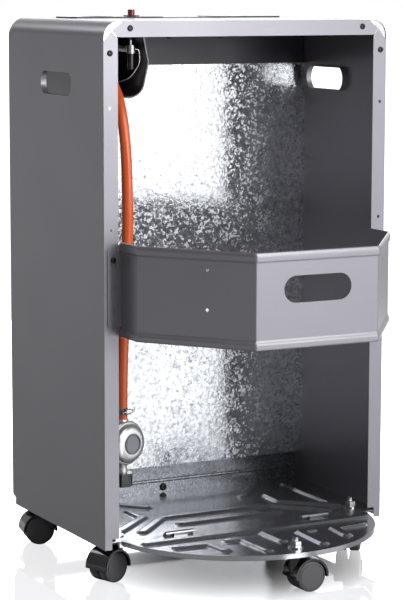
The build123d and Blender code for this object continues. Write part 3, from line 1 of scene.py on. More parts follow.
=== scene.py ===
"""Looks of a portable gas cabinet heater, seen from its open rear, laid out as an add-on."""

import json
import math

import bmesh
import bpy
import numpy as np
from bpy.props import FloatProperty, FloatVectorProperty, PointerProperty
from mathutils import Matrix, Vector


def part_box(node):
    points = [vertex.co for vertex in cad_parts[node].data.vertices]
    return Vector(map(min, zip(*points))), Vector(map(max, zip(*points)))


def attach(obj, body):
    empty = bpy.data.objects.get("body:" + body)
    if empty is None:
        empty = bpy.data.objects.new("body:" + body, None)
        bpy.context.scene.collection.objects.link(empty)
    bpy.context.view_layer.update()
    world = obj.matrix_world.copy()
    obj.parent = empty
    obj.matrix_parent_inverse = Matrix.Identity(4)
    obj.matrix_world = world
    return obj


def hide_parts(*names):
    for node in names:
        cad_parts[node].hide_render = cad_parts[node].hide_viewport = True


bl_info = {
    "name": "Gas cabinet heater",
    "version": (1, 0, 0),
    "blender": (4, 5, 0),
    "location": "View3D > Sidebar > Heater",
    "description": "Builds the finishes and the fine parts of a portable gas heater",
    "category": "Object",
}

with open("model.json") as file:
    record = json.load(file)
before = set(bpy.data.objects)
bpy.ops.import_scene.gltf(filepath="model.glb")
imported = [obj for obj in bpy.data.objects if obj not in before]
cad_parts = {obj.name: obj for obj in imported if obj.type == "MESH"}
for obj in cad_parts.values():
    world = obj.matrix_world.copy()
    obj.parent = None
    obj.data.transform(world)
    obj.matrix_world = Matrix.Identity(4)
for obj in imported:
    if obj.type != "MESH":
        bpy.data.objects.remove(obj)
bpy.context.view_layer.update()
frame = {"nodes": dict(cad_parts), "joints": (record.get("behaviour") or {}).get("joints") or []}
MM = 0.001
REARWARD = (0, 1, 0)
UPWARD = (0, 0, 1)
SHARP = math.radians(32)        # edges that turn more than this stay edges

# ---- places and sizes that follow the solids, in millimetres: y is to the rear, z is up ----
REAR_FACE_Y = 68.0              # outer face of the posts
POST_SCREW = (200.0, 687.0)     # x on either side, and z
STRIP_SCREW = (171.5, 718.0)
UPPER_SCREWS = ((8.0, -148.0, 702.0), (-73.0, -148.0, 702.0))
PARTITION_SCREW = (9.0, -164.0, 64.0)
BAND_SCREW = (197.0, 69.8, 425.5)
BAND_SHANK = (2.0, 4.8)         # radius and length
PAN_HEAD = (4.0, 2.2)           # radius and height
LARGE_HEAD = (5.5, 4.0)

TONGUE_X, TONGUE_Y, TONGUE_Z = (150.0, 205.0), (-147.05, -146.4), (596.0, 700.0)

PLATE_TOP = 57.0                # upper face of the base plate and of its extension
PLATE_HALF = 206.5
PLATE_Y = (-226.0, 66.8)
PLATE_SPANS = (412.0, 292.0)    # width and depth that the mesh step divides
JOINT_Y = 70.8                  # straight edge of the extension
ROUND_Y = 38.0                  # centre of its round edge
ROUND_R = 186.6
EXTENSION_HALF = 183.6          # half its width at the straight edge
EXTENSION_SPANS = (366.0, 150.0)
SKIN = 0.12                     # a pressing's height over its plate
RIB_HALF = 4.6                  # half the flat top of a rib

BAND_PLAN = ((188, 68.35), (188, 118), (89, 250), (-89, 250), (-188, 118), (-188, 68.35))
BAND_BEND_R = 4.5
BAND_SLOT = (97.0, 34.0)
BAND_SLOT_PLACE = (0.0, 250.0, 400.0)
BAND_HOLE = 4.4
BAND_HOLE_ALONG = 0.59          # share of the slanted side
BAND_HOLES_Z = (373.0, 423.0)
TAB_X, TAB_Y, TAB_Z = (185.0, 205.0), (68.35, 69.5), (339.0, 439.0)
TAB_CORNER_R = 3.0
TAB_HOLES_X = 197.0
TAB_HOLES = ((418.0, 4.2), (389.6, 2.2), (360.0, 2.2))      # z and radius
KEYHOLE_NECK = (12.4, 4.6)      # height and width of the slot over the uppermost hole
KEYHOLE_NECK_Z = 421.6

# Points of the hose's route, from the valve down to the regulator.
HOSE_ROUTE = (
    (118.5, -138.0, 664.0), (118.5, -103.0, 649.0), (118.5, -75.0, 620.0), (118.5, -59.0, 578.0),
    (118.3, -52.0, 520.0), (118.0, -51.5, 430.0), (124.0, -51.0, 325.0), (127.3, -51.5, 249.0),
    (127.3, -51.5, 193.0),
)
CLAMP_IN = 11.0                 # clamp's middle to the hose's end
CLAMP_HUB_OUT = 11.1            # worm housing to the hose's axis
REGULATOR_TURN = math.radians(108.6)
REGULATOR_FACING = (math.cos(REGULATOR_TURN), math.sin(REGULATOR_TURN), 0)
REGULATOR_Z = 161.0
REGULATOR_AHEAD = 10.7          # crimped rim to the hose's axis

CORNERS = ("rear_left", "rear_right", "front_left", "front_right", "extension")
HUB_R = 16.2                    # flat disc in a wheel's face
MARK_PLACE = (93.0, -182.0, 0.0)
MARK_SIZE = (9.0, 1.4)
MARK_Z = (724.9, 725.12)

# ---- the studio, in metres: name, size, place and aim of each softbox ----
SOFTBOXES = (
    ("key", (0.8, 1.0), (-0.85, 2.5, 1.05), (0.2, 0.05, 0.5)),
    ("low", (0.85, 0.6), (-1.02, 2.5, 0.3), (0.0, 0.05, 0.3)),
    ("wide", (1.8, 2.4), (-2.4, 1.8, 1.3), (0.1, 0.05, 0.6)),
    ("high", (2.0, 1.3), (-0.4, 2.2, 1.9), (0.1, 0.05, 0.4)),
    ("back", (3.0, 1.6), (-1.6, -3.0, 1.0), (0.0, 0.0, 0.6)),
    ("side", (0.5, 0.6), (0.9, -1.5, 1.6), (0.2, -0.1, 0.7)),
    ("rim", (0.5, 0.5), (1.6, 1.4, 1.6), (-0.2, 0.0, 0.5)),
)
CAMERA_PLACE = (1.4038, 2.6129, 0.7741)
CAMERA_FORWARD = (-0.4598, -0.8769, -0.1406)
CAMERA_ROLL = math.radians(0.13)
FLOOR_HALF = 40.0
FLOOR_DROP = 0.0002             # below the wheels
FLOOR_CENTRE = (0.0, 0.03, 0.0)
FLOOR_SHADE = 0.2               # distance from that centre at which the floor has become white


# ---- sizes and colours that can be changed ----
def length(name, description, default, low=0.0):
    """A length in metres, given here in millimetres."""
    return FloatProperty(name=name, description=description, default=default * MM, min=low,
                         unit="LENGTH", precision=5)


def share(name, description, default):
    return FloatProperty(name=name, description=description, default=default, min=0.0, max=1.0,
                         subtype="FACTOR")


def power(name, description, default):
    return FloatProperty(name=name, description=description, default=default, min=0.0, unit="POWER")


def colour(name, description, default):
    return FloatVectorProperty(name=name, description=description, default=default, min=0.0, max=1.0,
                               size=3, subtype="COLOR")


class CabinetSettings(bpy.types.PropertyGroup):
    """Coated and galvanised sheet of the cabinet."""
    coat: colour("Powder coat", "Colour of the metallic coat", (0.285, 0.277, 0.307))
    coat_roughness: share("Coat roughness", "Roughness of the powder coat", 0.37)
    zinc: colour("Zinc", "Colour of the galvanised sheet", (0.62, 0.64, 0.68))
    spangle: length("Spangle", "Size of one zinc crystal", 4.4)
    edge: length("Edge rounding", "Rounding of sheet edges", 0.3)


class BaseSettings(bpy.types.PropertyGroup):
    """Pressed base plate and its extension."""
    rib_ramp: length("Rib flank", "Width of a rib's sloping flank", 4.4)
    rib_high: length("Rib height", "Height of a rib over the plate", 3.4)
    mesh_step: length("Mesh step", "Spacing of the pressed sheet's mesh", 1.5)
    plate: colour("Plate", "Colour of the base plate's coat", (0.33, 0.335, 0.36))


class HoseSettings(bpy.types.PropertyGroup):
    """Gas hose and what is on it."""
    diameter: length("Hose diameter", "Outside diameter of the hose", 15.0)
    rubber: colour("Hose colour", "Colour of the rubber", (1.0, 0.16, 0.04))
    silver: colour("Regulator lacquer", "Colour of the regulator", (0.86, 0.87, 0.88))


class CasterSettings(bpy.types.PropertyGroup):
    """Twin-wheel casters."""
    groove: length("Face groove", "Width of the ring groove in a wheel's face", 0.9)
    hood: colour("Hood", "Colour of the glossy hoods", (0.012, 0.012, 0.013))
    wheel: colour("Wheel", "Colour of the grained wheels", (0.11, 0.108, 0.118))


class StudioSettings(bpy.types.PropertyGroup):
    """Softboxes, floor and camera."""
    key: power("Key softbox", "Power of the softbox that brightens the posts", 24.0)
    low: power("Low softbox", "Power of the dim panel that the shield mirrors", 2.2)
    wide: power("Wide softbox", "Power of the large dim panel at the right", 21.0)
    high: power("High softbox", "Power of the softbox above the key", 28.0)
    back: power("Back softbox", "Power of the softbox that the top mirrors", 50.0)
    side: power("Side softbox", "Power of the softbox on the side", 4.5)
    rim: power("Rim softbox", "Power of the small softbox that reaches the inner wall", 5.0)
    surround: share("Surround", "Level of the surround as light", 0.004)
    backdrop: share("Backdrop", "Level of the backdrop in glossy surfaces", 0.4)
    room: share("Room", "Level of the room opposite the backdrop in glossy surfaces", 0.03)
    gleam: share("Floor gleam", "Level of the rear floor in glossy surfaces", 0.7)
    mirror: share("Floor mirror", "Share of the floor's look that is a mirror", 0.52)
    lens: FloatProperty(name="Lens", description="Focal length", default=133.74, min=10.0,
                        unit="CAMERA")


# ---- shader expressions ----
class Wire:
    """A socket of a shader tree that takes part in Python expressions."""

    def __init__(self, nodes, socket):
        self.nodes = nodes
        self.socket = socket

    def __add__(self, other):
        return self.nodes.maths("ADD", self, other)

    def __sub__(self, other):
        return self.nodes.maths("SUBTRACT", self, other)

    def __rsub__(self, other):
        return self.nodes.maths("SUBTRACT", other, self)

    def __mul__(self, other):
        return self.nodes.maths("MULTIPLY", self, other)

    def __truediv__(self, other):
        return self.nodes.maths("DIVIDE", self, other)

    def __pow__(self, other):
        return self.nodes.maths("POWER", self, other)

    __radd__ = __add__
    __rmul__ = __mul__

    def floor(self):
        return self.nodes.maths("FLOOR", self)

    def fract(self):
        return self.nodes.maths("FRACT", self)

    def root(self):
        return self.nodes.maths("SQRT", self)

    def clamp(self, low=0.0, high=1.0):
        return self.nodes.maths("MINIMUM", self.nodes.maths("MAXIMUM", self, low), high)


class Nodes:
    """A shader tree, with one method that adds any node."""

    def __init__(self, tree):
        self.tree = tree

    def node(self, kind, settings, *values, **named):
        """Adds a node, sets it up, feeds its sockets and gives back its outputs."""
        node = self.tree.nodes.new(kind)
        for key, value in settings.items():
            setattr(node, key, value)
        pairs = list(zip(node.inputs, values))
        pairs += [(node.inputs[key.replace("_", " ")], value) for key, value in named.items()]
        for socket, value in pairs:
            if isinstance(value, Wire):
                self.tree.links.new(value.socket, socket)
            elif value is not None:
                socket.default_value = value
        return [Wire(self, socket) for socket in node.outputs]

    def maths(self, operation, *values):
        return self.node("ShaderNodeMath", {"operation": operation}, *values)[0]

    def tint(self, amount, first, second):
        """Mixes two colours by a value; the colour sockets of a mix node are its seventh and eighth."""
        return self.node("ShaderNodeMix", {"data_type": "RGBA"}, amount, *[None] * 5, first, second)[2]

    def rays(self):
        """Which ray looks: the camera's, a glossy one, a mirrored one or one through clear material."""
        path = self.node("ShaderNodeLightPath", {})
        return path[0], path[3], path[4], path[6]


class Finish(Nodes):
    """A procedural material whose patterns follow the place on its object."""

    def __init__(self, name, **constants):
        self.material = bpy.data.materials.new(name)
        self.material.use_nodes = True
        super().__init__(self.material.node_tree)
        self.tree.nodes.clear()
        out = self.tree.nodes.new("ShaderNodeOutputMaterial")
        self.shader = self.tree.nodes.new("ShaderNodeBsdfPrincipled")
        self.tree.links.new(self.shader.outputs[0], out.inputs["Surface"])
        for socket, value in constants.items():
            self.shader.inputs[socket.replace("_", " ")].default_value = value
        self.place = self.node("ShaderNodeTexCoord", {})[3]

    def feed(self, socket, wire):
        self.tree.links.new(wire.socket, self.shader.inputs[socket])
        return self

    def split(self):
        """The place's x, y and z."""
        return self.node("ShaderNodeSeparateXYZ", {}, self.place)

    def noise(self, scale, detail=3.0, where=None):
        """Fractal noise from 0 to 1, with that many lumps to the metre."""
        return self.node("ShaderNodeTexNoise", {}, Vector=where or self.place, Scale=scale,
                         Detail=detail)[0]

    def noise_colour(self, scale):
        """Three noises at once, to shift a place by."""
        return self.node("ShaderNodeTexNoise", {}, Vector=self.place, Scale=scale)[1]

    def bump(self, height, distance, strength=1.0, normal=None):
        return self.node("ShaderNodeBump", {}, Height=height, Distance=distance, Strength=strength,
                         Normal=normal)[0]


def rgba(tone, level=1.0):
    """A colour with its alpha, made lighter or darker."""
    return tuple(min(1.0, channel * level) for channel in tone) + (1.0,)


# The finishes made so far, by their maker and its arguments.
_finishes = {}


def finish(maker, *arguments):
    """Makes a finish, or gives back the one made before with the same arguments."""
    key = maker.__name__, repr([value[:] if hasattr(value, "__len__") else value for value in arguments])
    if key not in _finishes:
        _finishes[key] = maker(*arguments).material
    return _finishes[key]


def powder_coat(name, tone, roughness, metallic=0.2):
    """Metallic powder coat: fine flakes, a faint orange peel and slightly uneven gloss."""
    coat = Finish(name, Metallic=metallic, Specular_IOR_Level=0.3)
    flake = coat.noise(2600.0, 2.0)
    cloud = coat.noise(9.0, 3.0)
    coat.feed("Base Color", coat.tint(flake * 0.75 + cloud * 0.25, rgba(tone, 0.84), rgba(tone, 1.18)))
    coat.feed("Roughness", roughness + (cloud - 0.5) * 0.12 + (flake - 0.5) * 0.1)
    return coat.feed("Normal", coat.bump(coat.noise(420.0, 2.0), 0.00006, 0.5))


def galvanised(name, tone, spangle, roughness=0.05, frost=0.5, lean=0.03):
    """Zinc-coated sheet: a mirror with frosted crystals, whose blurred gloss catches light from the
    side, so that they show pale where the sheet reflects something dark; lean is the depth of the
    relief as a share of a crystal's size."""
    zinc = Finish(name, Metallic=0.84)
    lumps = zinc.noise(1.4 / spangle, 4.0)
    warp = zinc.node("ShaderNodeVectorMath", {"operation": "MULTIPLY_ADD"},
                     zinc.noise_colour(1.2 / spangle), (spangle * 0.9,) * 3, zinc.place)[0]
    cell = zinc.node("ShaderNodeTexVoronoi", {}, Vector=warp, Scale=1 / spangle)[1]
    drift = zinc.noise(0.2 / spangle, 2.0)
    crystal = ((cell * 0.35 + lumps * 0.8 + drift * 0.3 - 0.66) * 2.9).clamp()
    dim = ((zinc.noise(0.8 / spangle, 5.0) - 0.42) * 4.0).clamp()
    fine = zinc.noise(4.0 / spangle, 2.0)
    zinc.feed("Base Color", zinc.tint(dim, rgba(tone, 1.2), rgba(tone, 0.7)))
    zinc.feed("Roughness", roughness + crystal * frost + (fine - 0.5) * 0.04)
    wavy = zinc.bump(zinc.noise(5.0, 1.0), 0.001, 0.5)
    return zinc.feed("Normal", zinc.bump(lumps + fine * 0.2, spangle * lean, 1.0, wavy))


def metal(name, tone, roughness, ridge=0.0):
    """Plain metal with handling marks; ridge is the pitch of a thread along Z."""
    bare = Finish(name, Metallic=1.0)
    cloud = bare.noise(60.0, 4.0)
    fine = bare.noise(900.0, 2.0)
    bare.feed("Base Color", bare.tint(cloud, rgba(tone, 0.85), rgba(tone, 1.08)))
    bare.feed("Roughness", roughness + (cloud - 0.5) * 0.16 + (fine - 0.5) * 0.06)
    height = fine * 0.1
    if ridge:
        height = height + (bare.split()[2] / ridge).fract() * 4.0
    return bare.feed("Normal", bare.bump(height, 0.0001, 0.6))


def plastic(name, tone, roughness, grain=0.0, coat=0.0):
    """Moulded plastic or lacquer; grain is the depth of its spark-eroded texture."""
    moulded = Finish(name, Coat_Weight=coat, Coat_Roughness=0.06)
    speck = moulded.noise(1500.0, 2.0)
    cloud = moulded.noise(35.0, 2.0)
    moulded.feed("Base Color", moulded.tint(cloud * 0.6 + speck * 0.4, rgba(tone, 0.88), rgba(tone, 1.15)))
    moulded.feed("Roughness", roughness + (speck - 0.5) * 0.1)
    return moulded.feed("Normal", moulded.bump(speck, 0.00001 + grain, 0.5))


def hose_rubber(name, tone):
    """Extruded rubber: faint lines along its length and a few scuffs."""
    rubber = Finish(name, Coat_Weight=0.25, Coat_Roughness=0.2, Specular_IOR_Level=0.5)
    stretch = rubber.node("ShaderNodeVectorMath", {"operation": "MULTIPLY"}, rubber.place,
                          (1.0, 1.0, 0.05))[0]
    line = rubber.noise(900.0, 2.0, stretch)
    scuff = rubber.noise(70.0, 4.0)
    rubber.feed("Base Color", rubber.tint(scuff, rgba(tone, 0.9), rgba(tone, 1.1)))
    rubber.feed("Roughness", 0.3 + (scuff - 0.5) * 0.16)
    return rubber.feed("Normal", rubber.bump(line, 0.00008, 0.4))


def burner_ceramic(name):
    """Perforated ceramic: rows of flame ports in a chalky tile. The ports of a row stand a pitch
    apart, the rows 0.866 of it, and every row is shifted by half of it."""
    tile = Finish(name, Roughness=0.85)
    x, _, z = tile.split()
    pitch, lower = 0.0032, 0.866
    row = z / (pitch * lower)
    column = x / pitch + row.floor() * 0.5
    u = column.fract() - 0.5
    v = (row.fract() - 0.5) * lower
    hole = 1 - ((u * u + v * v).root() - 0.2).clamp(0, 0.08) * 12.5
    chalk = tile.tint(tile.noise(240.0, 3.0), rgba((0.70, 0.62, 0.50)), rgba((0.84, 0.78, 0.68)))
    # The ports are painted shade: a dark colour that stands for the shade inside each hole.
    tile.feed("Base Color", tile.tint(hole, chalk, rgba((0.05, 0.035, 0.03))))
    return tile.feed("Normal", tile.bump(1 - hole, 0.0006, 0.8))


# ---- surfaces worked out with arrays ----
class Shape:
    """Collects patches, each a grid of points in metres, and makes one piece of them."""

    def __init__(self):
        self.points = []
        self.faces = []
        self.count = 0

    def patch(self, grid, close_u=False, close_v=False):
        """Quads between neighbouring points of a grid, with either direction closed on itself."""
        rows, columns = grid.shape[:2]
        i, j = np.meshgrid(np.arange(rows if close_u else rows - 1),
                           np.arange(columns if close_v else columns - 1), indexing="ij")
        i2, j2 = (i + 1) % rows, (j + 1) % columns
        quads = np.stack([i * columns + j, i2 * columns + j, i2 * columns + j2, i * columns + j2], -1)
        self.points.append(grid.reshape(-1, 3))
        self.faces.append(quads.reshape(-1, 4) + self.count)
        self.count += rows * columns
        return self

    def lathe(self, profile, origin, axis, turns):
        """Profile rows are (radius, height) in mm: a point is origin + axis * height
        + radius * (u cos t + v sin t)."""
        profile = np.asarray(profile, float)
        radius, height = profile[None, :, 0:1], profile[None, :, 1:2]
        w, u, v = (np.array(d) for d in square_to(axis))
        t = np.linspace(0, 2 * np.pi, turns, endpoint=False)[:, None, None]
        grid = np.array(origin) + w * height + radius * (u * np.cos(t) + v * np.sin(t))
        return self.patch(grid * MM, close_u=True)

    def prism(self, outline, plane, low, high):
        """A flat outline (x, y) in mm on a plane (origin, x, y, normal), from low to high, capped."""
        outline = np.asarray(outline, float)
        origin, x, y, normal = (np.asarray(d, float) for d in plane)
        flat = origin + outline[:, 0:1] * x + outline[:, 1:2] * y
        levels = np.array([low, low, high, high])[:, None, None]
        centre = flat.mean(0)
        spread = np.array([0.0, 1.0, 1.0, 0.0])[:, None, None]
        grid = centre + (flat[None] - centre) * spread + normal * levels
        return self.patch(grid * MM, close_v=True)

    def make(self, name, body, material, slot=None, stands_for=()):
        """Merges the patches into one smooth closed mesh and puts it on its body."""
        mesh = bpy.data.meshes.new(name)
        points = np.concatenate(self.points).astype(np.float32)
        faces = np.concatenate(self.faces).astype(np.int32)
        mesh.vertices.add(len(points))
        mesh.vertices.foreach_set("co", points.ravel())
        mesh.loops.add(faces.size)
        mesh.loops.foreach_set("vertex_index", faces.ravel())
        mesh.polygons.add(len(faces))
        mesh.polygons.foreach_set("loop_start", np.arange(0, faces.size, 4, dtype=np.int32))
        mesh.update(calc_edges=True)
        work = bmesh.new()
        work.from_mesh(mesh)
        bmesh.ops.remove_doubles(work, verts=work.verts, dist=2e-6)
        bmesh.ops.dissolve_degenerate(work, dist=1e-7, edges=work.edges)
        bmesh.ops.recalc_face_normals(work, faces=work.faces)
        work.to_mesh(mesh)
        work.free()
        smooth(mesh)
        mesh.set_sharp_from_angle(angle=SHARP)
        mesh.materials.append(material)
        piece = bpy.data.objects.new(name, mesh)
        bpy.context.scene.collection.objects.link(piece)
        if body:
            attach(piece, body)
        if stands_for:
            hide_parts(*stands_for)
        return piece


def smooth(mesh):
    mesh.polygons.foreach_set("use_smooth", np.ones(len(mesh.polygons), bool))


def square_to(axis):
    """The unit axis and two unit vectors square to it."""
    w = Vector(axis).normalized()
    u = Vector((0, 0, 1)).cross(w) if abs(w.z) < 0.9 else Vector((0, 1, 0)).cross(w)
    u.normalize()
    return tuple(w), tuple(u), tuple(w.cross(u))


def round_edges(piece, width):
    """A narrow round on every sharp edge."""
    bevel = piece.modifiers.new("edge rounding", "BEVEL")
    bevel.width = width
    bevel.segments = 2
    bevel.limit_method = "ANGLE"
    bevel.angle_limit = SHARP
    bevel.miter_outer = "MITER_ARC"
    normals = piece.modifiers.new("even normals", "WEIGHTED_NORMAL")
    normals.keep_sharp = False
    normals.weight = 80


def dress(node, material, edge=0.0):
    """Gives a CAD node its finish, joins its triangles and rounds or splits its edges."""
    piece = frame["nodes"][node]
    mesh = piece.data
    if "custom_normal" in mesh.attributes:
        mesh.attributes.remove(mesh.attributes["custom_normal"])
    smooth(mesh)
    weld = piece.modifiers.new("weld", "WELD")
    weld.merge_threshold = 2e-6
    if edge:
        flat = piece.modifiers.new("flat faces", "DECIMATE")
        flat.decimate_type = "DISSOLVE"
        flat.angle_limit = math.radians(0.8)
        round_edges(piece, edge)
    else:
        split = piece.modifiers.new("crisp edges", "EDGE_SPLIT")
        split.split_angle = SHARP
    mesh.materials.clear()
    mesh.materials.append(material)
    return piece


def cut(piece, *cutters):
    """Takes the cutters out of a piece, makes the result its mesh and removes them."""
    for tool in cutters:
        boolean = piece.modifiers.new("cut", "BOOLEAN")
        boolean.object = tool
        boolean.operation = "DIFFERENCE"
        boolean.solver = "EXACT"
    bpy.context.view_layer.update()
    result = bpy.data.meshes.new_from_object(piece.evaluated_get(bpy.context.evaluated_depsgraph_get()))
    piece.modifiers.clear()
    piece.data = result
    smooth(result)
    for tool in cutters:
        bpy.data.objects.remove(tool)


def cutter(outline, plane, low, high):
    """A temporary prism to cut with."""
    return Shape().prism(outline, plane, low, high).make("cutter", None, dark_steel())


def upright(x, y, z):
    """The upright plane through a place, facing the rear."""
    return (x, y, z), (1, 0, 0), UPWARD, REARWARD


def smooth_step(values):
    values = np.clip(values, 0, 1)
    return values * values * (3 - 2 * values)


def arc(centre, wide, high, start, end, steps):
    """Points of an ellipse's arc between two angles in degrees."""
    t = np.radians(np.linspace(start, end, steps))
    return list(zip(centre[0] + wide * np.cos(t), centre[1] + high * np.sin(t)))


def stadium(long, high, steps=14):
    """Outline of a slot with round ends, centred."""
    r = high / 2
    t = np.linspace(-np.pi / 2, np.pi / 2, steps)
    right = np.stack([long / 2 - r + r * np.cos(t), r * np.sin(t)], 1)
    return np.concatenate([right, -right])


# ---- finishes shared by several pieces ----
def coat():
    cabinet = bpy.context.scene.heater_cabinet
    return finish(powder_coat, "grey_powder_coat", cabinet.coat, cabinet.coat_roughness, 0.6)


def zinc():
    cabinet = bpy.context.scene.heater_cabinet
    return finish(galvanised, "galvanised_sheet", cabinet.zinc, cabinet.spangle)


def dark_steel():
    return finish(plastic, "black_screw_steel", (0.014, 0.014, 0.015), 0.28, 0.0, 0.3)


def plated():
    return finish(metal, "zinc_plated_steel", (0.66, 0.66, 0.68), 0.22)


# ---- operators ----
class HEATER_OT_cabinet(bpy.types.Operator):
    """Shell, front panel, brackets and inner panels in their sheet finishes."""
    bl_idname = "heater.cabinet"
    bl_label = "Cabinet"

    def execute(self, context):
        edge = context.scene.heater_cabinet.edge
        dress("cabinet_shell", coat(), edge)
        dress("front_panel", coat(), edge)
        dress("corner_brackets", plated())
        dress("heat_shield", zinc())
        dark = finish(powder_coat, "dark_enamel", (0.07, 0.068, 0.074), 0.4, 0.3)
        dress("upper_panels", dark)
        (left, right), (low, high) = TONGUE_X, TONGUE_Z
        outline = [(left, low), (right, low), (right, high), (left, high)]
        tongue = Shape().prism(outline, upright(0, 0, 0), *TONGUE_Y)
        tongue.make("panel_tongue", "cabinet", dark, "black_steel")
        lower = finish(galvanised, "dull_galvanised_sheet", (0.25, 0.26, 0.285), 0.0022, 0.26, 0.16,
                       0.02)
        dress("lower_partition", lower, edge)
        return {"FINISHED"}


def screw_head(shape, centre, radius, height):
    """A pan head that faces the rear: its height is h * (1 - (r/R)^4)^0.6, less a cross-shaped recess
    whose arms are 0.34 R wide at the top and reach to 0.62 R; then the flat underside."""
    turns = 40
    w, u, v = (np.array(d) for d in square_to(REARWARD))
    t = np.linspace(0, 2 * np.pi, turns, endpoint=False)[:, None]
    r = np.linspace(0, 1, 20)[None, :]
    across, along = np.abs(r * np.cos(t)), np.abs(r * np.sin(t))
    narrow, wide = np.minimum(across, along), np.maximum(across, along)
    recess = smooth_step((0.17 - narrow) / 0.08) * smooth_step((0.62 - wide) / 0.1)
    high = (1 - r ** 4) ** 0.6 - 0.75 * recess
    grid_r = radius * np.concatenate([np.broadcast_to(r, high.shape), np.zeros((turns, 1))], 1)
    grid_h = height * np.concatenate([high, np.zeros((turns, 1))], 1)
    outward = u * np.cos(t)[..., None] + v * np.sin(t)[..., None]
    grid = np.array(centre) + w * grid_h[..., None] + outward * grid_r[..., None]
    return shape.patch(grid * MM, close_u=True)


class HEATER_OT_screws(bpy.types.Operator):
    """Black pan-head screws of the cabinet and the two that the band hangs on."""
    bl_idname = "heater.screws"
    bl_label = "Screws"

    def execute(self, context):
        heads = Shape()
        for side in (-1, 1):
            for x, z in (POST_SCREW, STRIP_SCREW):
                screw_head(heads, (side * x, REAR_FACE_Y, z), *PAN_HEAD)
        for centre in UPPER_SCREWS:
            screw_head(heads, centre, *PAN_HEAD)
        screw_head(heads, PARTITION_SCREW, *LARGE_HEAD)
        heads.make("screw_heads", "cabinet", dark_steel(), "black_steel", ["panel_screws"])
        hooks = Shape()
        radius, long = BAND_SHANK
        shank = [(0, -long), (radius, -long), (radius, 0.02), (0, 0.02)]
        for side in (-1, 1):
            centre = (side * BAND_SCREW[0], *BAND_SCREW[1:])
            screw_head(hooks, centre, *PAN_HEAD)
            hooks.lathe(shank, centre, REARWARD, 24)
        hooks.make("band_hook_heads", "cabinet", dark_steel(), "black_steel", ["band_hook_screws"])
        return {"FINISHED"}


# Middle lines of the pressed ribs, as corners (x, y).
RIBS_BASE = (
    ((-141, 40), (-83, -20), (83, -20), (141, 40)), ((-75, 21), (75, 21)),
    ((169, 26), (107, -32), (108, -70)), ((-169, 26), (-107, -32), (-108, -70)),
    ((166, 12), (166, -120)), ((-166, 12), (-166, -120)),
    ((76, -82), (132, -144)), ((-76, -82), (-132, -144)),
)
RIBS_EXTENSION = (
    ((-163.5, 99), (163.5, 99)), ((0, 118), (0, 164)),
    ((137.5, 134), (94, 138), (90, 175)), ((-137.5, 134), (-94, 138), (-90, 175)),
    ((62, 133), (44, 136), (41, 199)), ((-62, 133), (-44, 136), (-41, 199)),
)


def pressed_sheet(x, y, ribs, border, high, ramp):
    """A pressed sheet over (x, y): the plate's top plus h * s((half + ramp - d) / ramp), where d is the
    distance to the nearest rib line and s is half a straight ramp and half a smooth step. The skin
    lies a hair over the plate, and comes down to it in the last 2 mm before the border."""
    nearest = np.full(x.shape, 1e3)
    for line in ribs:
        for (ax, ay), (bx, by) in zip(line, line[1:]):
            dx, dy = bx - ax, by - ay
            along = np.clip(((x - ax) * dx + (y - ay) * dy) / (dx * dx + dy * dy), 0, 1)
            nearest = np.minimum(nearest, np.hypot(x - ax - along * dx, y - ay - along * dy))
    flank = (RIB_HALF + ramp - nearest) / ramp
    rise = high * (0.5 * np.clip(flank, 0, 1) + 0.5 * smooth_step(flank))
    z = PLATE_TOP + SKIN * smooth_step(border / 2.0) + rise
    return Shape().patch(np.stack([x, y, z], -1) * MM)


class HEATER_OT_base(bpy.types.Operator):
    """Pressed base plate and extension, hinge pins, nuts and studs."""
    bl_idname = "heater.base"
    bl_label = "Base plate"

    def execute(self, context):
        settings = context.scene.heater_base
        edge = context.scene.heater_cabinet.edge
        profile = settings.rib_high / MM, settings.rib_ramp / MM
        step = settings.mesh_step / MM
        plate = finish(powder_coat, "base_plate_coat", settings.plate, 0.17, 0.85)
        self.base(plate, step, profile)
        self.extension(plate, step, profile)
        dress("base_plate", plate, edge)
        dress("base_extension", plate, edge)
        dress("hinge_pins", finish(metal, "dark_pin", (0.25, 0.25, 0.26), 0.3))
        threads = finish(metal, "threaded_stud", (0.66, 0.66, 0.68), 0.25, 0.00125)
        dress("caster_stems", threads)
        dress("extension_caster_stem", threads)
        dress("caster_nuts", plated(), 0.0006)
        dress("extension_caster_nut", plated(), 0.0006)
        return {"FINISHED"}

    def base(self, plate, step, profile):
        front, rear = PLATE_Y
        across, along = (int(span / step) for span in PLATE_SPANS)
        x, y = np.meshgrid(np.linspace(-PLATE_HALF, PLATE_HALF, across),
                           np.linspace(front, rear, along), indexing="ij")
        border = np.minimum(PLATE_HALF - np.abs(x), np.minimum(rear - y, y - front))
        skin = pressed_sheet(x, y, RIBS_BASE, border, *profile)
        skin.make("base_plate_pressing", "cabinet", plate, "grey_powder_coat")

    def extension(self, plate, step, profile):
        """Rows run from the straight edge, v = 0, to the round one, v = 1."""
        across, along = (int(span / step) for span in EXTENSION_SPANS)
        x, v = np.meshgrid(np.linspace(-EXTENSION_HALF, EXTENSION_HALF, across),
                           np.linspace(0, 1, along), indexing="ij")
        reach = ROUND_Y + np.sqrt(ROUND_R ** 2 - x ** 2) - JOINT_Y
        y = JOINT_Y + v * reach
        border = np.minimum(y - JOINT_Y, ROUND_R - np.hypot(x, y - ROUND_Y))
        skin = pressed_sheet(x, y, RIBS_EXTENSION, border, *profile)
        skin.make("extension_pressing", "extension", plate, "grey_powder_coat")


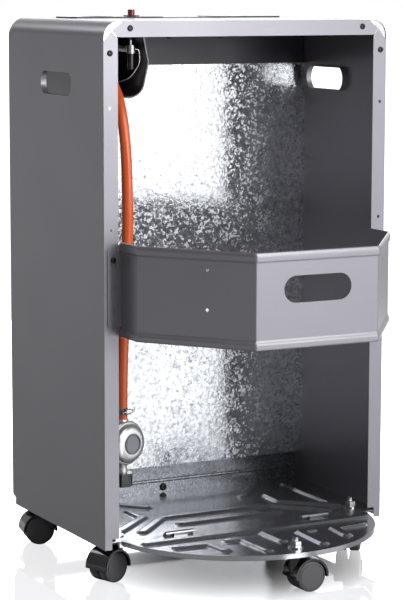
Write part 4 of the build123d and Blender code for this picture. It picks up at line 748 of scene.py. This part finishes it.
def band_section():
    """Closed loop of (outward offset, height): a flat inner face 3.2 behind the outermost line, and
    an outer face that lies 2 behind it and swells out to it in a rounded hem at each edge. A hem is
    arcs of ellipses, from the panel out to the hem's crest and on to the band's edge."""
    loop = arc((-2.0, 441.5), 2.0, 6.5, 0, 88, 9) + [(-2.6, 448.0)]
    loop += arc((-2.6, 447.4), 0.6, 0.6, 100, 180, 4)
    loop += arc((-2.6, 326.6), 0.6, 0.6, 180, 260, 4) + [(-1.4, 326.0)]
    loop += arc((-1.4, 328.5), 1.4, 2.5, -80, 0, 6)
    loop += arc((-2.0, 331.0), 2.0, 5.5, 12, 70, 6) + arc((-0.6, 339.5), 1.4, 3.4, 215, 180, 4)
    loop += arc((-0.6, 434.0), 1.4, 3.0, 180, 145, 4) + arc((-1.2, 438.6), 1.2, 3.0, -65, -5, 6)
    return np.array(loop)


def folded_line(points, radius, steps=9):
    """A plan line that always turns left, with its corners rounded: positions and outward normals.
    A corner's centre lies r beside the line and r tan(a/2) before the corner, a being its turn, and
    its arc is centre - side r cos t + along r sin t, with t from 0 to a."""
    points = np.array([(x, y, 0.0) for x, y in points])
    legs = np.diff(points, axis=0)
    along = legs / np.linalg.norm(legs, axis=1)[:, None]
    side = np.cross(UPWARD, along)
    where, ways = [points[:1]], [along[:1]]
    for here, one, two, left in zip(points[1:], along, along[1:], side):
        turn = math.acos(one @ two)
        centre = here - one * radius * math.tan(turn / 2) + left * radius
        t = np.linspace(0, turn, steps)[:, None]
        where.append(centre - left * radius * np.cos(t) + one * radius * np.sin(t))
        ways.append(one * np.cos(t) + left * np.sin(t))
    ways = np.concatenate([*ways, along[-1:]])
    return np.concatenate([*where, points[-1:]]), np.cross(ways, UPWARD)


class HEATER_OT_band(bpy.types.Operator):
    """Folded guard band with hemmed edges, hand slot, holes and hanging tabs."""
    bl_idname = "heater.band"
    bl_label = "Guard band"

    def execute(self, context):
        edge = context.scene.heater_cabinet.edge
        band = self.folded_band()
        round_edges(band, edge)
        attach(band, "band")
        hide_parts("bottle_band")
        for side, word in ((1, "left"), (-1, "right")):
            tab = self.tab(side, word)
            round_edges(tab, edge)
            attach(tab, "band")
        return {"FINISHED"}

    def folded_band(self):
        """The section carried along the plan line, closed at both ends, less the slot and the holes."""
        where, normals = folded_line(BAND_PLAN, BAND_BEND_R)
        section = band_section()
        grid = where[:, None] + normals[:, None] * section[:, 0:1] + np.array(UPWARD) * section[:, 1:2]
        ends = np.broadcast_to(grid[[0, -1]].mean(1, keepdims=True), (2, *grid.shape[1:]))
        grid = np.concatenate([ends[:1], grid, ends[1:]])
        band = Shape().patch(grid * MM, close_v=True).make("guard_band", None, coat())
        cutters = [cutter(stadium(*BAND_SLOT), upright(*BAND_SLOT_PLACE), -8, 8)]
        hole = stadium(BAND_HOLE, BAND_HOLE, 12)
        start, end = Vector(BAND_PLAN[1]), Vector(BAND_PLAN[2])
        x, y = start.lerp(end, BAND_HOLE_ALONG)
        along = (end - start).normalized()
        for side in (-1, 1):
            for z in BAND_HOLES_Z:
                across, out = (side * along.x, along.y, 0), (side * along.y, -along.x, 0)
                cutters.append(cutter(hole, ((side * x, y, z), across, UPWARD, out), -6, 6))
        cut(band, *cutters)
        return band

    def tab(self, side, word):
        """The flat ear that lies on the post: a rectangle with round outer corners, then its holes."""
        (inner, outer), (low, high), r = TAB_X, TAB_Z, TAB_CORNER_R
        outline = [(inner, high)] + arc((outer - r, high - r), r, r, 90, 0, 7)
        outline += arc((outer - r, low + r), r, r, 0, -90, 7) + [(inner, low)]
        outline = np.array(outline) * (side, 1)
        tab = Shape().prism(outline, upright(0, 0, 0), *TAB_Y).make(f"band_tab_{word}", None, coat())
        cutters = []
        for z, radius in TAB_HOLES:
            ring = stadium(2 * radius, 2 * radius)
            cutters.append(cutter(ring, upright(side * TAB_HOLES_X, 0, z), 66, 72))
        neck = stadium(*KEYHOLE_NECK, 12)[:, ::-1]
        cutters.append(cutter(neck, upright(side * TAB_HOLES_X, 0, KEYHOLE_NECK_Z), 66.1, 72.1))
        cut(tab, *cutters)
        return tab


class HEATER_OT_hose(bpy.types.Operator):
    """Orange gas hose, its clamps, tail, regulator and union nut."""
    bl_idname = "heater.hose"
    bl_label = "Hose and regulator"

    def execute(self, context):
        settings = context.scene.heater_hose
        hose = self.line(settings)
        context.scene.collection.objects.link(hose)
        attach(hose, "cabinet")
        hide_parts("gas_hose")
        dress("hose_tail", finish(metal, "tail_brass", (0.75, 0.60, 0.33), 0.25), 0.0004)
        clamps = self.clamps()
        regulator = self.regulator(settings)
        black = finish(plastic, "black_nut_plastic", (0.02, 0.02, 0.021), 0.3, 0.0, 0.2)
        nut = dress("union_nut", black, 0.0012)
        return {"FINISHED"}

    def line(self, settings):
        """A smooth curve along the route, as thick as the hose and closed at its ends."""
        curve = bpy.data.curves.new("gas_hose_line", "CURVE")
        curve.dimensions = "3D"
        spline = curve.splines.new("NURBS")
        spline.points.add(len(HOSE_ROUTE) - 1)
        for point, place in zip(spline.points, HOSE_ROUTE):
            point.co = tuple(value * MM for value in place) + (1.0,)
        spline.order_u = 3
        spline.use_endpoint_u = True
        spline.resolution_u = 16
        curve.bevel_depth = settings.diameter / 2
        curve.bevel_resolution = 10
        curve.use_fill_caps = True
        curve.materials.append(finish(hose_rubber, "orange_rubber", settings.rubber))
        return bpy.data.objects.new("orange_hose", curve)

    def clamps(self):
        """Two worm-drive bands: a ring, a housing with rounded corners and a screw with a recess."""
        top, below, end = (Vector(HOSE_ROUTE[k]) for k in (0, 1, -1))
        down, up = (below - top).normalized(), Vector(UPWARD)
        ring = [(7.56, -4.3), (7.7, -4.5), (8.2, -4.5), (8.35, -4.3), (8.35, 4.3), (8.2, 4.5),
                (7.7, 4.5), (7.56, 4.3), (7.56, -4.3)]
        t = np.linspace(0, 2 * np.pi, 24, endpoint=False)
        circle = np.stack([np.cos(t), np.sin(t)], 1)
        housing = np.sign(circle) * np.abs(circle) ** 0.5 * (2.9, 4.0)
        rod = [(0, -9.4), (1.9, -9.4), (2.3, -9.0), (2.3, 8.5), (1.9, 9.0)]
        rod += [(3.3, 9.0), (3.5, 9.4), (3.5, 12.0), (3.1, 12.5), (1.0, 12.5), (0.9, 11.4), (0, 11.4)]
        shape = Shape()
        for centre, along, out in (
            (top + down * CLAMP_IN, down, Vector((1, 0, 0))),
            (end + up * CLAMP_IN, up, Vector(REGULATOR_FACING)),
        ):
            side = along.cross(out).normalized()
            hub = centre + out * CLAMP_HUB_OUT
            shape.lathe(ring, centre, along, 72)
            shape.prism(housing, (hub, out, along, side), -4.5, 4.5)
            shape.lathe(rod, hub, side if side.x > -0.5 else -side, 36)
        steel = finish(metal, "clamp_steel", (0.60, 0.60, 0.62), 0.18)
        return shape.make("clamp_bands", "cabinet", steel, "plated_steel", ["hose_clamps"])

    def regulator(self, settings):
        """Disc-shaped regulator: a spun dome with a crimped rim, bare cap, barrel and ringed neck."""
        x, y = HOSE_ROUTE[-1][:2]
        rim = Vector((x, y, REGULATOR_Z)) + Vector(REGULATOR_FACING) * REGULATOR_AHEAD
        dome = [(0, -12.2), (15.5, -12.2), (16.5, -11.4), (17.5, -7.0), (26.0, -6.4), (28.6, -4.6)]
        dome += [(29.4, -3.2), (29.95, -2.4), (29.95, -0.6), (29.5, -0.1), (28.9, 0.2), (28.6, 0.9)]
        dome += [(28.3, 1.3), (27.6, 1.5)] + arc((16.5, 1.6), 10.5, 8.4, 0, 90, 14)
        dome += [(14.9, 10.0), (14.6, 9.3), (14.2, 9.3), (14.0, 9.6), (0, 9.6)]
        barrel = [(0, 131), (8.2, 131), (9, 132), (9, 147), (8.4, 148), (9, 149), (9, 186), (8.2, 189)]
        barrel += [(8.8, 189.6), (8.8, 191.4), (8.2, 192.8), (7.3, 193), (0, 193)]
        neck = [(0, 111), (10.15, 111), (10.15, 112.7), (6.5, 113), (6.45, 119.4), (6.45, 122)]
        neck += [(7.4, 122.4), (7.4, 124.6), (6.4, 125), (6.4, 128.2), (7.6, 131), (0, 131)]
        body = Shape().lathe(dome, rim, REGULATOR_FACING, 96)
        for rings in (barrel, neck):
            body.lathe(rings, (x, y, 0), UPWARD, 48)
        lacquer = finish(powder_coat, "silver_lacquer", settings.silver, 0.3, 0.75)
        body = body.make("regulator_case", "cabinet", lacquer, "regulator_alloy", ["regulator_body"])
        disc = [(0, 10.2), (11.3, 10.2), (11.7, 10.5), (11.9, 11.6), (12.4, 12.2), (13.2, 12.3)]
        disc += [(13.8, 11.8), (14.0, 11.0), (14.0, 9.9), (0, 9.9)]
        grey = finish(plastic, "grey_cap_plastic", (0.30, 0.31, 0.34), 0.33, 0.0, 0.2)
        cap = Shape().lathe(disc, rim, REGULATOR_FACING, 72)
        cap = cap.make("regulator_disc", "cabinet", grey, "grey_plastic", ["regulator_cap"])
        return body, cap


class HEATER_OT_casters(bpy.types.Operator):
    """Hoods, axles and grained wheels of the five casters."""
    bl_idname = "heater.casters"
    bl_label = "Casters"

    def execute(self, context):
        settings = context.scene.heater_caster
        hood = finish(plastic, "glossy_hood", settings.hood, 0.14, 0.0, 0.2)
        wheel = finish(plastic, "grained_wheel", settings.wheel, 0.46, 0.00004, 0.0)
        groove = settings.groove / MM
        for corner in CORNERS:
            dress(f"caster_hood_{corner}", hood, 0.0007)
            dress(f"caster_axle_{corner}", plated())
            low, high = (Vector(c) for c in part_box(f"caster_axle_{corner}"))
            hub = (low + high) / 2 / MM
            for letter in "ab":
                node = f"wheel_{letter}_{corner}"
                joint = next(j for j in frame["joints"] if j["child"] == node)
                axis = Vector(joint["axis"]) * (1 if letter == "a" else -1)
                turned = Shape().lathe(self.section(groove), hub, axis, 80)
                turned.make(f"caster_wheel_{letter}_{corner}", node, wheel, "grained_plastic", [node])
        return {"FINISHED"}

    def section(self, groove):
        """Half section of a wheel: a slightly domed disc, a ring groove, the tread and the inner side."""
        disc = [(r, 16.95 - 0.35 * (r / HUB_R) ** 2) for r in np.linspace(0, HUB_R, 10)]
        ring = [(HUB_R + 0.1, 15.9), (HUB_R + 0.1 + groove * 0.9, 15.9), (HUB_R + 0.2 + groove, 16.5)]
        tread = [(18.2, 16.3), (19.3, 15.8), (20.1, 14.9), (20.45, 13.8), (20.45, 3.2), (20.1, 2.5)]
        inner = [(19.2, 2.05), (3.0, 2.05), (2.6, 2.2), (2.6, 5.0), (0, 5.0)]
        return disc + ring + tread + inner


class HEATER_OT_valve(bpy.types.Operator):
    """Valve, its black bowl, magnet unit, igniter body and the thin tubes."""
    bl_idname = "heater.valve"
    bl_label = "Valve"

    def execute(self, context):
        bowl = finish(plastic, "black_bowl_enamel", (0.1, 0.095, 0.108), 0.3, 0.0, 0.3)
        dress("valve_housing", bowl, 0.0006)
        alloy = finish(metal, "valve_alloy", (0.58, 0.58, 0.60), 0.2)
        dress("gas_valve", alloy, 0.0004)
        dress("magnet_unit", dark_steel(), 0.0004)
        dress("piezo_igniter", finish(plastic, "igniter_plastic", (0.02, 0.02, 0.02), 0.4), 0.0003)
        copper = finish(metal, "lead_copper", (0.80, 0.62, 0.50), 0.25)
        dress("thermocouple", finish(metal, "lead_sheath", (0.72, 0.70, 0.68), 0.2))
        dress("spark_electrode", finish(plastic, "white_glaze", (0.75, 0.74, 0.71), 0.25, 0.0, 0.3))
        dress("pilot_burner", copper)
        dress("burner_supply_tube", copper)
        dress("valve_spindle", plated())
        return {"FINISHED"}


class HEATER_OT_controls(bpy.types.Operator):
    """Knob, igniter button and the thin trim on the top."""
    bl_idname = "heater.controls"
    bl_label = "Controls"

    def execute(self, context):
        trim = finish(plastic, "satin_trim", (0.018, 0.018, 0.019), 0.34, 0.00001)
        dress("control_trim", trim, 0.0003)
        knob = finish(plastic, "knob_plastic", (0.02, 0.02, 0.021), 0.38, 0.00001)
        dress("control_knob", knob, 0.0005)
        red = finish(plastic, "red_button", (0.32, 0.012, 0.016), 0.2, 0.0, 0.3)
        dress("igniter_button", red, 0.0006)
        mark = Shape().prism(stadium(*MARK_SIZE), (MARK_PLACE, (1, 0, 0), REARWARD, UPWARD), *MARK_Z)
        white = finish(plastic, "white_mark", (0.8, 0.8, 0.79), 0.4)
        mark.make("knob_mark", "knob", white, "white_ceramic")
        return {"FINISHED"}


class HEATER_OT_burner(bpy.types.Operator):
    """Radiant burner, its reflector and the wire guard."""
    bl_idname = "heater.burner"
    bl_label = "Burner"

    def execute(self, context):
        bright = finish(galvanised, "bright_reflector", (0.80, 0.80, 0.81), 0.009, 0.08, 0.1)
        dress("burner_reflector", bright, 0.0003)
        housing = finish(galvanised, "housing_sheet", (0.55, 0.56, 0.58), 0.006, 0.24, 0.2)
        dress("burner_housings", housing, 0.0004)
        dress("ceramic_plaques", finish(burner_ceramic, "perforated_ceramic"))
        dress("injector_manifold", plated())
        dress("injectors", finish(metal, "jet_brass", (0.75, 0.60, 0.33), 0.25), 0.0003)
        dress("burner_guard", finish(metal, "chromed_wire", (0.76, 0.76, 0.78), 0.12))
        return {"FINISHED"}


class HEATER_OT_studio(bpy.types.Operator):
    """Glossy white floor, softboxes, dim surround and the camera."""
    bl_idname = "heater.studio"
    bl_label = "Studio"

    def execute(self, context):
        settings = context.scene.heater_studio
        scene = context.scene
        self.floor(settings)
        scene.world = self.world(settings)
        for name, size, place, target in SOFTBOXES:
            self.softbox(name, getattr(settings, name), size, place, target)
        camera = bpy.data.objects.new("camera", bpy.data.cameras.new("camera"))
        camera.data.lens = settings.lens
        camera.data.sensor_width = 36.0
        turn = Vector(CAMERA_FORWARD).to_track_quat("-Z", "Y").to_matrix()
        turn = turn @ Matrix.Rotation(CAMERA_ROLL, 3, "Z")
        camera.matrix_world = Matrix.Translation(CAMERA_PLACE) @ turn.to_4x4()
        scene.collection.objects.link(camera)
        scene.camera = camera
        scene.view_settings.view_transform = "Standard"
        return {"FINISHED"}

    def floor(self, settings):
        """A polished white floor: part mirror, part diffuse. It glows white away from the heater for
        the camera and through clear material, and behind it for glossy surfaces."""
        gloss = Finish("polished_floor", Metallic=settings.mirror, Emission_Strength=1.0, Roughness=0.0)
        gloss.shader.inputs["Base Color"].default_value = rgba((0.45, 0.45, 0.45))
        camera_ray, glossy_ray, _, clear_ray = gloss.rays()
        offset = gloss.node("ShaderNodeVectorMath", {"operation": "SUBTRACT"}, gloss.place,
                            FLOOR_CENTRE)[0]
        away = gloss.node("ShaderNodeVectorMath", {"operation": "LENGTH"}, offset)[1]
        near = ((away / FLOOR_SHADE) ** 3.0).clamp(0.02) * (camera_ray + clear_ray)
        x, y, _ = gloss.split()
        # The glow rises from y = 0.32 to y = 0.72, and fades out from x = -0.1 to x = 0.1.
        behind = (y / 0.4 - 0.8).clamp() * (0.5 - x / 0.2).clamp()
        glow = (near + behind * glossy_ray * settings.gleam).clamp()
        gloss.feed("Emission Color", gloss.tint(glow, rgba((0, 0, 0)), rgba((0.78, 0.78, 0.79))))
        reach = (-FLOOR_HALF, FLOOR_HALF)
        x, y = np.meshgrid(reach, reach, indexing="ij")
        sheet = Shape().patch(np.stack([x, y, np.full_like(x, -FLOOR_DROP)], -1))
        sheet.make("floor", None, gloss.material)

    def world(self, settings):
        """A dim surround that is white for the camera, for mirrors and through clear material, and
        pale in glossy surfaces on the side of the backdrop, which is the heater's front (-y)."""
        world = bpy.data.worlds.new("surround")
        world.use_nodes = True
        sky = Nodes(world.node_tree)
        heading = sky.node("ShaderNodeTexCoord", {})[0]
        y = sky.node("ShaderNodeSeparateXYZ", {}, heading)[1]
        behind = (0.5 - y * 2.5).clamp()
        level = behind * (settings.backdrop - settings.room) + settings.room
        camera_ray, glossy_ray, mirror_ray, clear_ray = sky.rays()
        seen = (camera_ray + mirror_ray + clear_ray + glossy_ray * level).clamp()
        tone = sky.tint(seen, rgba((0.96, 0.98, 1.0), settings.surround), rgba((1, 1, 1)))
        sky.tree.links.new(tone.socket, sky.tree.nodes["Background"].inputs["Color"])
        return world

    def softbox(self, name, watts, size, place, target):
        data = bpy.data.lights.new(name, "AREA")
        data.energy = watts
        data.shape = "RECTANGLE"
        data.size, data.size_y = size
        lamp = bpy.data.objects.new(name, data)
        lamp.location = place
        lamp.rotation_mode = "QUATERNION"
        lamp.rotation_quaternion = (Vector(target) - Vector(place)).to_track_quat("-Z", "Y")
        lamp.visible_camera = False
        bpy.context.scene.collection.objects.link(lamp)


class HEATER_PT_panel(bpy.types.Panel):
    """Lists the steps and their settings."""
    bl_idname = "HEATER_PT_panel"
    bl_label = "Gas cabinet heater"
    bl_space_type = "VIEW_3D"
    bl_region_type = "UI"
    bl_category = "Heater"

    def draw(self, context):
        for operator in OPERATORS:
            self.layout.operator(operator.bl_idname)
        for name in SETTINGS:
            group = getattr(context.scene, name)
            box = self.layout.box()
            for key in group.__annotations__:
                box.prop(group, key)


SETTINGS = {
    "heater_cabinet": CabinetSettings,
    "heater_base": BaseSettings,
    "heater_hose": HoseSettings,
    "heater_caster": CasterSettings,
    "heater_studio": StudioSettings,
}
OPERATORS = (
    HEATER_OT_studio, HEATER_OT_cabinet, HEATER_OT_screws, HEATER_OT_base, HEATER_OT_band, HEATER_OT_hose,
    HEATER_OT_casters, HEATER_OT_valve, HEATER_OT_controls, HEATER_OT_burner,
)


def register():
    for name, group in SETTINGS.items():
        bpy.utils.register_class(group)
        setattr(bpy.types.Scene, name, PointerProperty(type=group))
    for operator in OPERATORS:
        bpy.utils.register_class(operator)
    bpy.utils.register_class(HEATER_PT_panel)


def unregister():
    bpy.utils.unregister_class(HEATER_PT_panel)
    for operator in reversed(OPERATORS):
        bpy.utils.unregister_class(operator)
    for name, group in SETTINGS.items():
        delattr(bpy.types.Scene, name)
        bpy.utils.unregister_class(group)


def main():
    register()
    for operator in OPERATORS:
        group, step = operator.bl_idname.split(".")
        getattr(getattr(bpy.ops, group), step)()


if __name__ == "__main__":
    main()
